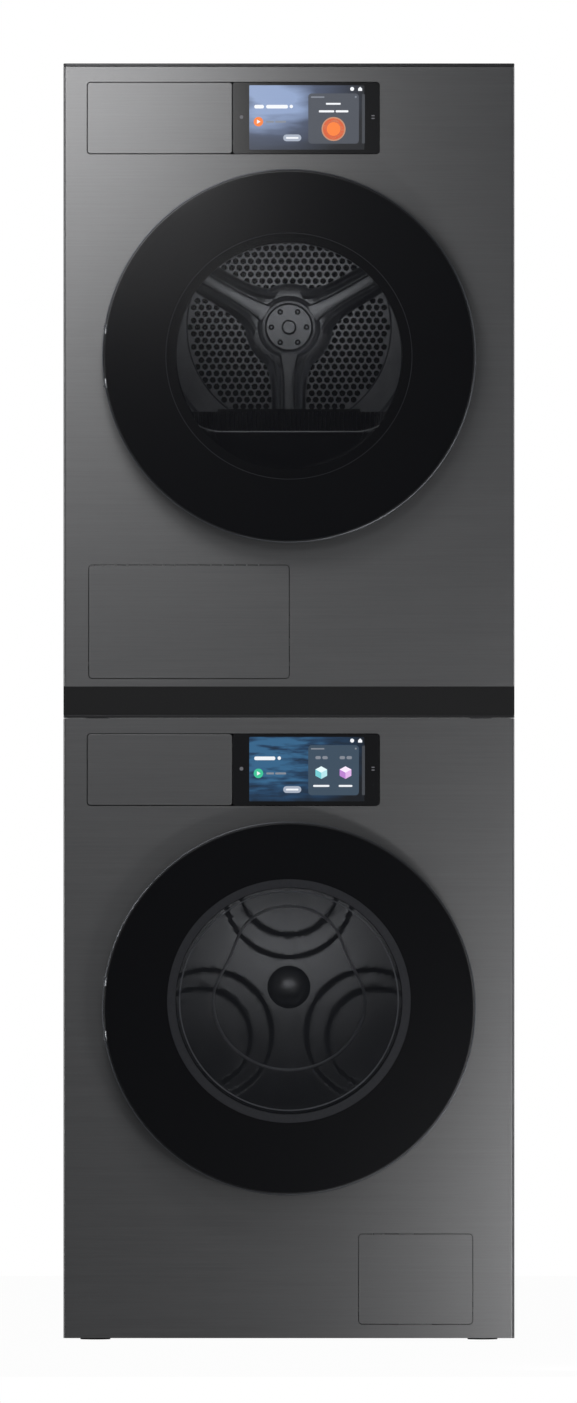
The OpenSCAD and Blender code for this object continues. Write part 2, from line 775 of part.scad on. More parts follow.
module motor_stator() {
  core_r = rotor_r - 12;
  color(copper) translate([0, 0, washer_z])
    ring_y(0, tub_z, stator_y - 4, stator_y + 26, core_r, boss_r + 18);
}

module motor_rotor() {
  cup_t = 2.5;
  y1 = rotor_y + rotor_w;
  color(zinc) translate([0, 0, washer_z])
    turned_y(0, tub_z, [[rotor_r - 6, rotor_y], [rotor_r, rotor_y], [rotor_r, y1], [shaft_r + fit_gap, y1],
                        [shaft_r + fit_gap, y1 - cup_t], [rotor_r - 6, y1 - cup_t]]);
}

// Concrete weights on the tub's front face, above and below its mouth
module counterweights() {
  weight_t = 32;
  reach = tub_r - 8;
  color(concrete) translate([0, 0, washer_z])
    for (side = [-1, 1])
      intersection() {
        ring_y(0, tub_z, tub_front_y - weight_t, tub_front_y, reach, tub_mouth_r + 34);
        box([-reach + 35, tub_front_y - weight_t - 1, side > 0 ? tub_z + 95 : tub_z - tub_r],
            [reach - 35, tub_front_y + 1, side > 0 ? tub_z + tub_r : tub_z - 115]);
      }
}

// A coil spring from z0 to z1, swept with six sides
function coil_point(angle, z, corner) =
  [(spring_r + spring_wire_r * cos(corner)) * cos(angle),
   (spring_r + spring_wire_r * cos(corner)) * sin(angle),
   z + spring_wire_r * sin(corner)];

module coil(z0, z1) {
  sides = 6;
  steps = spring_turns * 12;
  points = [for (i = [0 : steps], k = [0 : sides - 1])
    coil_point(i * 30, z0 + spring_wire_r + (z1 - z0 - 2 * spring_wire_r) * i / steps, k * 360 / sides)];
  walls = [for (i = [0 : steps - 1], k = [0 : sides - 1])
    let (n = (k + 1) % sides)
      [i * sides + k, (i + 1) * sides + k, (i + 1) * sides + n, i * sides + n]];
  start = [for (k = [0 : sides - 1]) k];
  finish = [for (k = [sides - 1 : -1 : 0]) steps * sides + k];
  polyhedron(points = points, faces = concat(walls, [start], [finish]));
}

module tub_springs() {
  color(zinc) translate([0, 0, washer_z])
    for (side = [-1, 1]) translate([side * spring_x, spring_y, 0]) coil(ear_top_z + 0.3, spring_rail_z - 0.3);
}

module damper_tubes() {
  color(grey_plastic) translate([0, 0, washer_z])
    for (x = [-damper_x, damper_x], y = damper_ys) translate([x, y, base_floor]) difference() {
      cylinder(h = damper_tube_h, r = damper_tube_r);
      translate([0, 0, 4]) cylinder(h = damper_tube_h, r = damper_rod_r + damper_gap);
    }
}

module damper_rods() {
  color(zinc) translate([0, 0, washer_z])
    for (x = [-damper_x, damper_x], y = damper_ys)
      translate([x, y, base_floor + 4 + tub_travel + 30]) 
        cylinder(h = damper_ear_z - base_floor - 4 - tub_travel - 30, r = damper_rod_r);
}

module drain_pump() {
  volute_len = 60;
  color(black) translate([0, 0, washer_z]) {
    difference() {
      union() {
        bar_y(pump_x, pump_z, pump_y, pump_y + volute_len, pump_r);
        bar_y(pump_x, pump_z, pump_y + volute_len, pump_y + volute_len + 50, pump_r - 10);
        box([pump_x - 22, pump_y + 20, base_floor], [pump_x + 22, pump_y + volute_len, pump_z]);
        translate([pump_x - 12, pump_y + 30, pump_z + 20]) cylinder(h = 45, r = 10);
        translate([pump_x + 16, pump_y + 46, pump_z + 20]) cylinder(h = 30, r = 8);
      }
      bar_y(pump_x, pump_z, pump_y - 1, pump_y + 50, pump_bore_r);
      translate([pump_x - 12, pump_y + 30, pump_z + 20]) cylinder(h = 50, r = 7.5);
      translate([pump_x + 16, pump_y + 46, pump_z + 20]) cylinder(h = 40, r = 6);
    }
  }
}

module pump_filter_cap() {
  grip_t = 9;
  color(grey_plastic) translate([0, 0, washer_z]) {
    bar_y(pump_x, pump_z, pump_y - 6, pump_y - 0.5, cap_grip_r);
    bar_y(pump_x, pump_z, pump_y - 0.5, pump_y + 40, pump_bore_r - 0.5);
    box([pump_x - cap_grip_r + 4, pump_y - 20, pump_z - grip_t / 2],
        [pump_x + cap_grip_r - 4, pump_y - 6, pump_z + grip_t / 2]);
  }
}

module filter_flap() {
  color(steel) translate([0, 0, washer_z]) flap(filter_flap_x, filter_flap_rise, filter_flap_w, filter_flap_h);
}

// Twin inlet valve with its threaded spigots through the back wall
module inlet_valve() {
  bore = 8;
  color(grey_plastic) translate([0, 0, washer_z]) difference() {
    union() {
      box([-200, wall_y - 45, body_h - 75], [-110, wall_y - sheet_t, body_h - 35]);
      for (x = [-180, -130]) bar_y(x, body_h - 55, wall_y - sheet_t - 1, back_y + port_proud, inlet_r);
    }
    for (x = [-180, -130]) bar_y(x, body_h - 55, wall_y - 25, back_y + port_proud + 1, bore);
  }
}

// ---- Dryer ----

module dryer_base() {
  color(grey_plastic) translate([0, 0, dryer_z]) difference() {
    base_tray(4, base_h, 8);
    for (x = [-tab_x, tab_x])
      bar_y(x, tab_screw_rise, wall_y - 12, wall_y, screw_r + 0.3);
  }
}

module dryer_cabinet() {
  hole_r = 170;
  carrier_y0 = wall_y - 34;
  color(steel) translate([0, 0, dryer_z]) difference() {
    union() {
      difference() {
        cabinet_shell();
        bar_y(0, drum_z, wall_y - 5, wall_y + 1, hole_r);
      }
      for (angle = [30, 90, 150])
        translate([0, 0, drum_z]) rotate([0, angle, 0])
          box([-hole_r - 8, wall_y - 8, -14], [hole_r + 8, wall_y - sheet_t, 14]);
      bar_y(0, drum_z, carrier_y0, wall_y - sheet_t, 24);
    }
    bar_y(0, drum_z, carrier_y0 - 1, wall_y + 1, dryer_shaft_r + fit_gap);
  }
}

module dryer_back_cover() {
  color(zinc) translate([0, 0, dryer_z]) back_pan(450, 60, 735);
}

module dryer_front_panel() {
  color(steel) translate([0, 0, dryer_z]) {
    difference() {
      front_pan(machine_h - top_t - seam);
      strip_hole();
      bar_y(0, door_rise, front_y - 1, front_y + sheet_t + 1, mouth_r - 3);
      flap_hole(dryer_flap_x, dryer_flap_rise, dryer_flap_w, dryer_flap_h);
      hook_slot();
    }
    flap_ears(dryer_flap_x, dryer_flap_rise, dryer_flap_w);
  }
}

module dryer_top() {
  color(dark_steel) translate([0, 0, dryer_z]) top_plate();
}

module dryer_display() {
  color(black) translate([0, 0, dryer_z]) display();
}

module tank_housing() {
  color(grey_plastic) translate([0, 0, dryer_z])
    housing(tank_x0, tank_x1, housing_y, housing_y + tank_len + 10, tank_z0, tank_z1);
}

// Closed condensate tank with a filling hole on top
module water_tank() {
  x0 = tank_x0 + slide_gap;
  x1 = tank_x1 - slide_gap;
  z0 = tank_z0 + slide_gap;
  z1 = tank_z1 - slide_gap;
  y0 = front_y + drawer_front_t;
  y1 = housing_y + tank_len;
  color(grey_plastic) translate([0, 0, dryer_z]) difference() {
    box([x0, y0, z0], [x1, y1, z1]);
    box([x0 + box_wall, y0 + box_wall, z0 + box_wall], [x1 - box_wall, y1 - box_wall, z1 - box_wall]);
    box([x0 + 20, y1 - 70, z1 - box_wall - 1], [x1 - 20, y1 - 30, z1 + 1]);
  }
}

module tank_front() {
  color(steel) translate([0, 0, dryer_z]) slide_front();
}

module dryer_door_frame() {
  color(black) translate([0, 0, dryer_z]) door_ring(dryer_window_r, 0);
}

module dryer_door_rim() {
  color(bright) translate([0, 0, dryer_z]) door_rim();
}

module dryer_door_glass() {
  color(smoked) translate([0, 0, dryer_z]) door_glass();
}

module dryer_door_window() {
  color(smoked) translate([0, 0, dryer_z]) door_cup(door_rise, dryer_bowl_depth, bowl_seat_r - 11, 3);
}

// Front bulkhead: the throat, the ledge that the drum turns on and the lint filter's pocket
module dryer_bulkhead() {
  half_plate = half_w - 20;
  pocket_wall = 2;
  pocket_x = filter_x + 1;
  y1 = filter_y0 + filter_t + 1;
  color(grey_plastic) translate([0, 0, dryer_z]) {
    difference() {
      union() {
        box([-half_plate, bulkhead_y, 215], [half_plate, bulkhead_y + bulkhead_t, tank_z0 - 8]);
        ring_y(0, throat_z, front_y + sheet_t + 1, bulkhead_y + 1, throat_r + 10, throat_r + 6);
        ring_y(0, drum_z, bulkhead_y + 1, bulkhead_y + bulkhead_t + glide_len, glide_r - 3, glide_r - 8);
      }
      intersection() {
        bar_y(0, throat_z, bulkhead_y - 1, bulkhead_y + bulkhead_t + 1, throat_r);
        box([-throat_r, bulkhead_y - 2, lip_z], [throat_r, bulkhead_y + bulkhead_t + 2, throat_z + throat_r]);
      }
    }
    difference() {
      box([-pocket_x - pocket_wall, bulkhead_y + bulkhead_t, filter_z0 - 1 - pocket_wall],
          [pocket_x + pocket_wall, y1 + pocket_wall, lip_z - 2]);
      box([-pocket_x, bulkhead_y + bulkhead_t + 1, filter_z0 - 1], [pocket_x, y1, lip_z]);
    }
  }
}

// Lint filter cassette: a framed pocket with rows of slots
module lint_filter() {
  rows = 3;
  slots = 12;
  slot_w = 8;
  pitch = 2 * (filter_x - 8) / slots;
  slot_h = (filter_z1 - filter_z0 - 24) / rows - 4;
  color(black) translate([0, 0, dryer_z]) difference() {
    box([-filter_x, filter_y0, filter_z0], [filter_x, filter_y0 + filter_t, filter_z1]);
    box([-filter_x + 4, filter_y0 + 3, filter_z0 + 4], [filter_x - 4, filter_y0 + filter_t - 3, filter_z1 + 1]);
    for (i = [0 : slots - 1], row = [0 : rows - 1]) {
      x = -filter_x + 8 + (i + 0.5) * pitch;
      z = filter_z0 + 10 + row * (slot_h + 4);
      box([x - slot_w / 2, filter_y0 - 1, z], [x + slot_w / 2, filter_y0 + filter_t + 1, z + slot_h]);
    }
  }
}

module dryer_drum() {
  color(bright) translate([0, 0, dryer_z]) difference() {
    bar_y(0, drum_z, dryer_drum_y, dryer_back_y, dryer_drum_r);
    bar_y(0, drum_z, dryer_drum_y + drum_wall, dryer_back_y + 1, dryer_drum_r - drum_wall);
    bar_y(0, drum_z, dryer_drum_y - 1, dryer_drum_y + drum_wall + 1, glide_r - 2);
  }
}

// Back of the drum, with its hub, three stiffening ribs and the rear shaft
module dryer_drum_back() {
  plate_t = 2;
  rib_w = 17;
  y0 = dryer_back_y - plate_t;
  color(zinc) translate([0, 0, dryer_z]) {
    bar_y(0, drum_z, y0, dryer_back_y, dryer_drum_r - drum_wall);
    bar_y(0, drum_z, y0 - 8, y0, hub_ring_r);
    for (i = [0 : 2])
      translate([0, y0, drum_z]) rotate([0, 90 + i * 120, 0])
        box([hub_ring_r - 4, -5, -rib_w / 2], [dryer_drum_r - 60, 0, rib_w / 2]);
    bar_y(0, drum_z, dryer_back_y, wall_y - 2, dryer_shaft_r);
  }
}

module dryer_paddles() {
  color(grey_plastic) translate([0, 0, dryer_z])
    paddles(drum_z, dryer_drum_r - drum_wall, dryer_paddle_h, dryer_drum_y + 50, dryer_back_y - 30, 30);
}

module belt_outline(grow) {
  hull() {
    translate([0, drum_z]) circle(dryer_drum_r + 0.6 + grow, $fn = 96);
    translate([pulley_x, pulley_z]) circle(pulley_r + 0.4 + grow, $fn = 48);
  }
}

module drum_belt() {
  color(black) translate([0, belt_y + belt_w / 2, dryer_z]) rotate([90, 0, 0]) linear_extrude(belt_w) difference() {
    belt_outline(belt_t);
    belt_outline(0);
  }
}

module dryer_motor() {
  y1 = belt_y - belt_w / 2 - 6;
  y0 = y1 - motor_len;
  color(dark_steel) translate([0, 0, dryer_z]) difference() {
    union() {
      bar_y(pulley_x, pulley_z, y0, y1, motor_r);
      box([pulley_x - 40, y0 + 15, 4], [pulley_x + 40, y1 - 15, pulley_z]);
    }
    bar_y(pulley_x, pulley_z, y0 - 1, y1 + 1, motor_shaft_r + fit_gap);
  }
}

module motor_pulley() {
  flange = 3;
  y0 = belt_y - belt_w / 2 - 2;
  y1 = belt_y + belt_w / 2 + 2;
  color(zinc) translate([0, 0, dryer_z]) {
    bar_y(pulley_x, pulley_z, belt_y - belt_w / 2 - motor_len, y0, motor_shaft_r);
    turned_y(pulley_x, pulley_z, [[0, y0], [pulley_r + belt_t + flange, y0], [pulley_r + belt_t + flange, y0 + 1],
                                  [pulley_r, y0 + 1], [pulley_r, y1 - 1], [pulley_r + belt_t + flange, y1 - 1],
                                  [pulley_r + belt_t + flange, y1], [0, y1]]);
  }
}

// A block of upright fins on cross tubes, between two end plates
module finned_block(x0, x1, y0, y1) {
  fin_t = 1.5;
  fins = 15;
  pitch = (x1 - x0 - fin_t) / (fins - 1);
  tubes = round((y1 - y0) / 50);
  for (i = [0 : fins - 1])
    box([x0 + i * pitch, y0, 12], [x0 + i * pitch + fin_t, y1, 188]);
  for (i = [0 : tubes - 1], z = [60, 90, 150])
    bar_x(x0 + fin_t / 2, x1 - fin_t / 2, y0 + (i + 0.5) * (y1 - y0) / tubes, z, 4.5);
}

// Evaporator, condenser and compressor, joined by their pipes
module heat_pump() {
  x0 = -half_w + 35;
  x1 = -40;
  compressor = [190, front_y + 470];
  pipe_y = compressor[1] - 85;
  pipe_r = 5;
  color(zinc) translate([0, 0, dryer_z]) {
    finned_block(x0, x1, front_y + 70, front_y + 180);
    finned_block(x0, x1, front_y + 195, front_y + 410);
    bar_y(x1 - 0.7, 40, front_y + 170, front_y + 200, pipe_r);
    translate([compressor[0], compressor[1], 12]) cylinder(h = 150, r = 62);
    for (z = [60, 90]) {
      bar_x(x1 - 10, compressor[0], pipe_y, z, pipe_r);
      translate([compressor[0], pipe_y, z]) sphere(pipe_r);
      bar_y(compressor[0], z, pipe_y, compressor[1], pipe_r);
    }
  }
}

module exchanger_flap() {
  color(steel) translate([0, 0, dryer_z]) flap(dryer_flap_x, dryer_flap_rise, dryer_flap_w, dryer_flap_h);
}

stacking_frame();
stacking_screws();
foot(-foot_x, foot_ys[0]);  // foot_front_left
foot(foot_x, foot_ys[0]);  // foot_front_right
foot(-foot_x, foot_ys[1]);  // foot_back_left
foot(foot_x, foot_ys[1]);  // foot_back_right
washer_base();
washer_cabinet();
washer_back_cover();
washer_front_panel();
washer_top();
washer_display();
drawer_housing();
detergent_drawer();
drawer_front();
washer_door_frame();
washer_door_rim();
washer_door_glass();
washer_door_bowl();
washer_door_lock();
door_hinges();
door_gasket();
outer_tub();
tub_bearings();
washer_drum();
drum_paddles();
drum_spider();
motor_rotor();
motor_stator();
counterweights();
tub_springs();
damper_tubes();
damper_rods();
drain_pump();
pump_filter_cap();
filter_flap();
inlet_valve();
dryer_base();
dryer_cabinet();
dryer_back_cover();
dryer_front_panel();
dryer_top();
dryer_display();
tank_housing();
water_tank();
tank_front();
dryer_door_frame();
dryer_door_rim();
dryer_door_glass();
dryer_door_window();
dryer_bulkhead();
lint_filter();
dryer_drum();
dryer_drum_back();
dryer_paddles();
drum_belt();
dryer_motor();
motor_pulley();
heat_pump();
exchanger_flap();
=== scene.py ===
import json
import math
import bpy
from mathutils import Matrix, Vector


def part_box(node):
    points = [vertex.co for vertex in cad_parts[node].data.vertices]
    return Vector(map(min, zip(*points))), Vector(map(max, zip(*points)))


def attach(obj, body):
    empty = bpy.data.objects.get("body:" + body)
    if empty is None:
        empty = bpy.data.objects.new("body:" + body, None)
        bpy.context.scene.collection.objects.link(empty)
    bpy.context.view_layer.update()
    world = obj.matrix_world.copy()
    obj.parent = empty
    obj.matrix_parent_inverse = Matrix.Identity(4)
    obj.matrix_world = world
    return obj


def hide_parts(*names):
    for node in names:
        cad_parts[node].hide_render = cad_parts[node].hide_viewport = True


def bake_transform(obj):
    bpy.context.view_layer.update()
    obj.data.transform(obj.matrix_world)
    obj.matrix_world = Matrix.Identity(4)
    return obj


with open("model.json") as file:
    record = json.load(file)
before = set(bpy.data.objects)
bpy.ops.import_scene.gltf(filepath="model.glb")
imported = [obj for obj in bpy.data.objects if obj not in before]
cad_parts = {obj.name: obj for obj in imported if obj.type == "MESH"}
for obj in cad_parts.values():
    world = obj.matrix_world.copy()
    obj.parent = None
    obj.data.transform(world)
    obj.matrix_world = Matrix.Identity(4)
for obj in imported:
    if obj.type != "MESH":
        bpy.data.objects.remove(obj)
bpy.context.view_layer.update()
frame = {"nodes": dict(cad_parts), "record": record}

# ---- Studio: pale floor, white surround, soft lights, long lens ----
# The stack stands alone on a pale floor. A soft light stands high at the front left, a weaker
# one low at the right, and a tall strip at each side. A faint one far off gives the upper glass
# its sheen, and a weak lamp before each drum shows it through the dark glass.
scene = bpy.context.scene
scene.view_settings.view_transform = "Standard"
front_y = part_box("dryer_front_panel")[0][1]
camera_distance = 30.0
frame_height = 1.8666
sensor_height = 36

bpy.ops.object.select_all(action="DESELECT")
bpy.ops.object.camera_add(
    location=(-0.0006, front_y - camera_distance, 0.8500), rotation=(math.radians(90), 0, 0))
camera = bpy.context.object
camera.data.sensor_fit = "VERTICAL"
camera.data.sensor_height = sensor_height
camera.data.lens = sensor_height * camera_distance / frame_height
camera.data.clip_end = 100
scene.camera = camera


def added(paint, kind, inputs=None):
    """Adds a node to a material or world: an input given as a socket is wired, any other is set."""
    node = paint.node_tree.nodes.new(kind)
    for name, value in (inputs or {}).items():
        if isinstance(value, bpy.types.NodeSocket):
            paint.node_tree.links.new(value, node.inputs[name])
        else:
            node.inputs[name].default_value = value
    return node


def blank(name):
    """A new material with its shader."""
    paint = bpy.data.materials.new(name)
    paint.use_nodes = True
    return paint, paint.node_tree.nodes["Principled BSDF"]


studio = bpy.data.worlds.new("studio")
studio.use_nodes = True
studio.node_tree.nodes.clear()
scene.world = studio
seen = added(studio, "ShaderNodeBackground", {"Color": (1, 1, 1, 1)})
lighting = added(studio, "ShaderNodeBackground", {"Color": (0.93, 0.96, 1.0, 1), "Strength": 0.20})
path = added(studio, "ShaderNodeLightPath")
pick = added(studio, "ShaderNodeMixShader", {
    "Fac": path.outputs["Is Camera Ray"], 1: lighting.outputs[0], 2: seen.outputs[0]})
added(studio, "ShaderNodeOutputWorld", {"Surface": pick.outputs[0]})


def soft_light(name, place, aim, size, watts):
    """A rectangular lamp with a wide soft face, turned towards a point."""
    bpy.ops.object.light_add(type="AREA", location=place)
    lamp = bpy.context.object
    lamp.name = name
    lamp.data.shape = "RECTANGLE"
    lamp.data.size = size[0]
    lamp.data.size_y = size[1]
    lamp.data.energy = watts
    lamp.rotation_euler = (Vector(aim) - Vector(place)).to_track_quat("-Z", "Y").to_euler()
    lamp.visible_camera = False


# Each row: the name, how far off the front it stands, its (x, z) and what it is turned to.
for name, off, place, aim, size, watts in (
        ("key_high_left", 0.95, (-0.50, 1.86), (-0.30, 1.68), (0.8, 0.6), 7.2),
        ("glow_on_glass", 2.2, (-0.30, 1.60), (-0.30, 1.60), (0.5, 0.36), 1.15),
        ("fill_low_right", 1.3, (0.62, 0.06), (0.35, 0.05), (0.5, 0.1), 5.2),
        ("strip_left", 0.2, (-2.2, 0.9), (-0.3, 0.80), (0.5, 2.2), 13),
        ("strip_right", 0.2, (2.2, 0.9), (0.3, 0.85), (0.5, 2.2), 11)):
    soft_light(name, (place[0], front_y - off, place[1]), (aim[0], front_y, aim[1]), size, watts)
lamp_ahead, lamp_rise = 0.03, 0.05
for machine, lamp_watts in (("washer", 0.11), ("dryer", 0.17)):
    drum_low, drum_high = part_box(machine + "_drum")
    drum_middle = (drum_low[2] + drum_high[2]) / 2
    lamp_place = (0, drum_low[1] + lamp_ahead, drum_middle + lamp_rise)
    lamp_aim = (0, drum_high[1], drum_middle)
    soft_light(machine + "_drum_lamp", lamp_place, lamp_aim, (0.20, 0.10), lamp_watts)

floor_size, floor_back, floor_glow_share = 5.0, 0.6, 0.975
bpy.ops.mesh.primitive_plane_add(size=floor_size, location=(0, floor_back, 0))
floor = bpy.context.object
floor.name = "studio_floor"
floor_paint, floor_shader = blank("pale_floor")
floor_shader.inputs["Base Color"].default_value = (0.45, 0.45, 0.45, 1)
floor_shader.inputs["Roughness"].default_value = 0.9
floor_glow = added(floor_paint, "ShaderNodeEmission")
floor_path = added(floor_paint, "ShaderNodeLightPath")
floor_share = added(
    floor_paint, "ShaderNodeMath", {0: floor_path.outputs["Is Camera Ray"], 1: floor_glow_share})
floor_share.operation = "MULTIPLY"
floor_mix = added(floor_paint, "ShaderNodeMixShader", {
    "Fac": floor_share.outputs[0], 1: floor_shader.outputs[0], 2: floor_glow.outputs[0]})
floor_out = floor_paint.node_tree.nodes["Material Output"]
floor_paint.node_tree.links.new(floor_mix.outputs[0], floor_out.inputs["Surface"])
floor.data.materials.append(floor_paint)

# ---- Cabinet shells, back covers, top plates and bases ----
# Each shell is one wrap of 1.2 mm sheet, powder coated in a dark satin grey. The pressed back
# covers are bare zinc-coated sheet, the trays are moulded, and all are screwed together.
slot_of = {row["node"]: row["material_slot"] for row in frame["record"]["subparts"]}
bodies = frame["record"]["behaviour"]["bodies"]
body_of = {node: body for body, group in bodies.items() for node in group}


def noise(paint, scale, detail, settings=None):
    """Noise on the piece's own coordinates, stretched by a scale for each axis."""
    where = added(paint, "ShaderNodeTexCoord")
    spread = added(paint, "ShaderNodeMapping", {"Vector": where.outputs["Object"], "Scale": scale})
    wired = {"Vector": spread.outputs[0], "Scale": 1.0, "Detail": detail, **(settings or {})}
    return added(paint, "ShaderNodeTexNoise", wired).outputs["Fac"]


def grained(paint, grain, colour, vary, stops, gloss, bump):
    """Lets one grain drive a finish's colour, its roughness and the relief of its surface."""
    tone = added(paint, "ShaderNodeValToRGB", {"Fac": grain})
    for element, stop, share in zip(tone.color_ramp.elements, stops, (1 - vary, 1 + vary)):
        element.position = stop
        element.color = [c * share for c in colour] + [1]
    shine = added(paint, "ShaderNodeMapRange", {"Value": grain, **gloss})
    relief = added(
        paint, "ShaderNodeBump", {"Height": grain, "Strength": bump[0], "Distance": bump[1]})
    links, shader = paint.node_tree.links, paint.node_tree.nodes["Principled BSDF"]
    links.new(tone.outputs["Color"], shader.inputs["Base Color"])
    links.new(shine.outputs["Result"], shader.inputs["Roughness"])
    links.new(relief.outputs["Normal"], shader.inputs["Normal"])


def coating(name, colour, metal, rough, scale=(40, 40, 40), vary=0.12, bump=0.05, rough_vary=0.08):
    """A finish with a fine grain: its colour, roughness and surface all vary a little in place."""
    paint, shader = blank(name)
    shader.inputs["Metallic"].default_value = metal
    grain = noise(paint, scale, 4.0, {"Roughness": 0.6})
    gloss = {"To Min": max(rough - rough_vary, 0.01), "To Max": rough + rough_vary}
    grained(paint, grain, colour, vary, (0.3, 0.7), gloss, (bump, 0.0005))
    return paint


def painted(piece, paint):
    """Gives a piece one finish all over."""
    piece.data.materials.clear()
    piece.data.materials.append(paint)
    for face in piece.data.polygons:
        face.material_index = 0


def single_out(piece):
    """Makes one piece the only selected one, and the active one."""
    bpy.ops.object.select_all(action="DESELECT")
    bpy.context.view_layer.objects.active = piece
    piece.select_set(True)


def put_in(name, mesh):
    """Puts a mesh into the scene as a new piece, selected alone."""
    piece = bpy.data.objects.new(name, mesh)
    scene.collection.objects.link(piece)
    single_out(piece)
    return piece


def reworked(gap=0, flatten=0, deepen=0, outward=False):
    """Reworks the active mesh: joins close points, clears flat edges, deepens it along Y, or turns
    its faces outwards."""
    bpy.ops.object.mode_set(mode="EDIT")
    bpy.ops.mesh.select_all(action="SELECT")
    if gap:
        bpy.ops.mesh.remove_doubles(threshold=gap)
    if flatten:
        bpy.ops.mesh.dissolve_limited(angle_limit=math.radians(flatten))
    if deepen:
        bpy.ops.mesh.extrude_region_move(TRANSFORM_OT_translate={"value": (0, deepen, 0)})
    if outward:
        bpy.ops.mesh.select_all(action="SELECT")
        bpy.ops.mesh.normals_make_consistent(inside=False)
    bpy.ops.object.mode_set(mode="OBJECT")


def shaped_by(piece, kind, **settings):
    """Adds a modifier with its settings and applies it."""
    step = piece.modifiers.new(kind.lower(), kind)
    for name, value in settings.items():
        setattr(step, name, value)
    bpy.ops.object.modifier_apply(modifier=step.name)


def smoothed(degrees):
    """Shades the active piece smooth, but for edges sharper than an angle."""
    bpy.ops.object.shade_smooth_by_angle(angle=math.radians(degrees))


def fitted(piece, body, slot, *nodes):
    """Hangs a finished piece on its body and hides the nodes it stands for."""
    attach(piece, body)
    if nodes:
        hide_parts(*nodes)


weld_gap = 0.00002


def edge_broken(node, name, paint, width, segments=2):
    """The same part with its sharp edges broken, as pressed sheet and mouldings have them."""
    piece = put_in(name, frame["nodes"][node].data.copy())
    reworked(gap=weld_gap, flatten=0.4)
    shaped_by(piece, "BEVEL", width=width, segments=segments, limit_method="ANGLE",
              angle_limit=math.radians(35))
    smoothed(32)
    shaped_by(piece, "WEIGHTED_NORMAL", keep_sharp=True)
    painted(piece, paint)
    fitted(piece, body_of[node], slot_of[node], node)


side_paint = coating(
    "satin_side_paint", (0.060, 0.060, 0.062), 0.55, 0.42, (300, 300, 300), 0.10, 0.10)
zinc_sheet = coating("zinc_coated_sheet", (0.42, 0.43, 0.45), 0.85, 0.42, (60, 60, 60), 0.16, 0.04)
tray_plastic = coating("moulded_tray_plastic", (0.022, 0.022, 0.024), 0.0, 0.55, (220, 220, 220))
top_paint = coating(
    "top_sheet_paint", (0.030, 0.030, 0.032), 0.4, 0.38, (260, 260, 260), 0.08, 0.08)
for machine in ("washer", "dryer"):
    edge_broken(machine + "_cabinet", machine + "_cabinet_wrap", side_paint, 0.0004)
    edge_broken(machine + "_back_cover", machine + "_back_pressing", zinc_sheet, 0.0005)
    edge_broken(machine + "_base", machine + "_base_moulding", tray_plastic, 0.0006)
    edge_broken(machine + "_top", machine + "_top_sheet", top_paint, 0.0008)

# ---- Front panels, drawer fronts and flaps ----
# Folded stainless sheet with a dark tint, brushed along its width. The drawer fronts and the
# flaps are cut from the same sheet, so the brushing runs on across their narrow gaps.


def set_shader(paint, **values):
    """Sets a finish's shader inputs, named with underscores for spaces, and returns the finish."""
    shader = paint.node_tree.nodes["Principled BSDF"]
    for name, value in values.items():
        shader.inputs[name.replace("_", " ")].default_value = value
    return paint


def brushed_steel(name, colour, streak=(6, 6, 700), vary=0.05):
    """Dark stainless brushed from side to side: long thin streaks that catch the light unevenly."""
    steel = blank(name)[0]
    set_shader(steel, Metallic=1.0, Anisotropic=0.55, Anisotropic_Rotation=0.25)
    fine = (streak[0] * 5, streak[1] * 5, streak[2] * 4)
    both = added(
        steel, "ShaderNodeMath", {0: noise(steel, streak, 3.0), 1: noise(steel, fine, 3.0)})
    both.operation = "ADD"
    half = added(steel, "ShaderNodeMath", {0: both.outputs[0], 1: 0.5})
    half.operation = "MULTIPLY"
    gloss = {"From Min": 0.3, "From Max": 0.7, "To Min": 0.38, "To Max": 0.46}
    grained(steel, half.outputs[0], colour, vary, (0.38, 0.62), gloss, (0.10, 0.0002))
    return steel


front_steel = brushed_steel("brushed_dark_stainless", (0.178, 0.178, 0.180))
edge_broken("washer_front_panel", "washer_front_sheet", front_steel, 0.0005)
edge_broken("dryer_front_panel", "dryer_front_sheet", front_steel, 0.0005)
edge_broken("drawer_front", "drawer_front_plate", front_steel, 0.0009, 3)
edge_broken("tank_front", "tank_front_plate", front_steel, 0.0009, 3)
edge_broken("filter_flap", "filter_flap_plate", front_steel, 0.0006)
edge_broken("exchanger_flap", "exchanger_flap_plate", front_steel, 0.0006)

# ---- Joining frame and its screws ----
# A black moulded frame that sits on the washer's top and locates the dryer's tray. Two tabs at
# the back are screwed to both cabinets.
band_plastic = set_shader(coating(
    "black_band_plastic", (0.012, 0.012, 0.0125), 0.0, 0.46, (500, 500, 500), 0.1, 0.08),
    Specular_IOR_Level=0.30)
steel_bits = coating("ground_steel", (0.50, 0.51, 0.53), 1.0, 0.28, (120, 120, 120), 0.08, 0.03)
edge_broken("stacking_frame", "joining_band", band_plastic, 0.0012, 3)
edge_broken("stacking_screws", "joining_screws", steel_bits, 0.0004)

# ---- Door glass, frame and silver rim ----
# The outer glass is black-tinted and flat, with a black print baked on its back round the window,
# and is bonded to a black moulded frame. A narrow dark metal rim is clipped round it.
glass_index = 1.5
door_tint = set_shader(coating(
    "black_tinted_glass", (0.0006, 0.0008, 0.0025), 0.0, 0.16, (3, 3, 3), 0.05, 0.0, 0.01),
    IOR=glass_index, Specular_IOR_Level=0.25, Alpha=0.62)
rim_metal = coating(
    "polished_rim_metal", (0.12, 0.125, 0.135), 1.0, 0.30, (30, 30, 30), 0.08, 0.02, 0.04)
frame_black = coating(
    "door_frame_black", (0.008, 0.008, 0.009), 0.0, 0.38, (400, 400, 400), 0.15, 0.06)


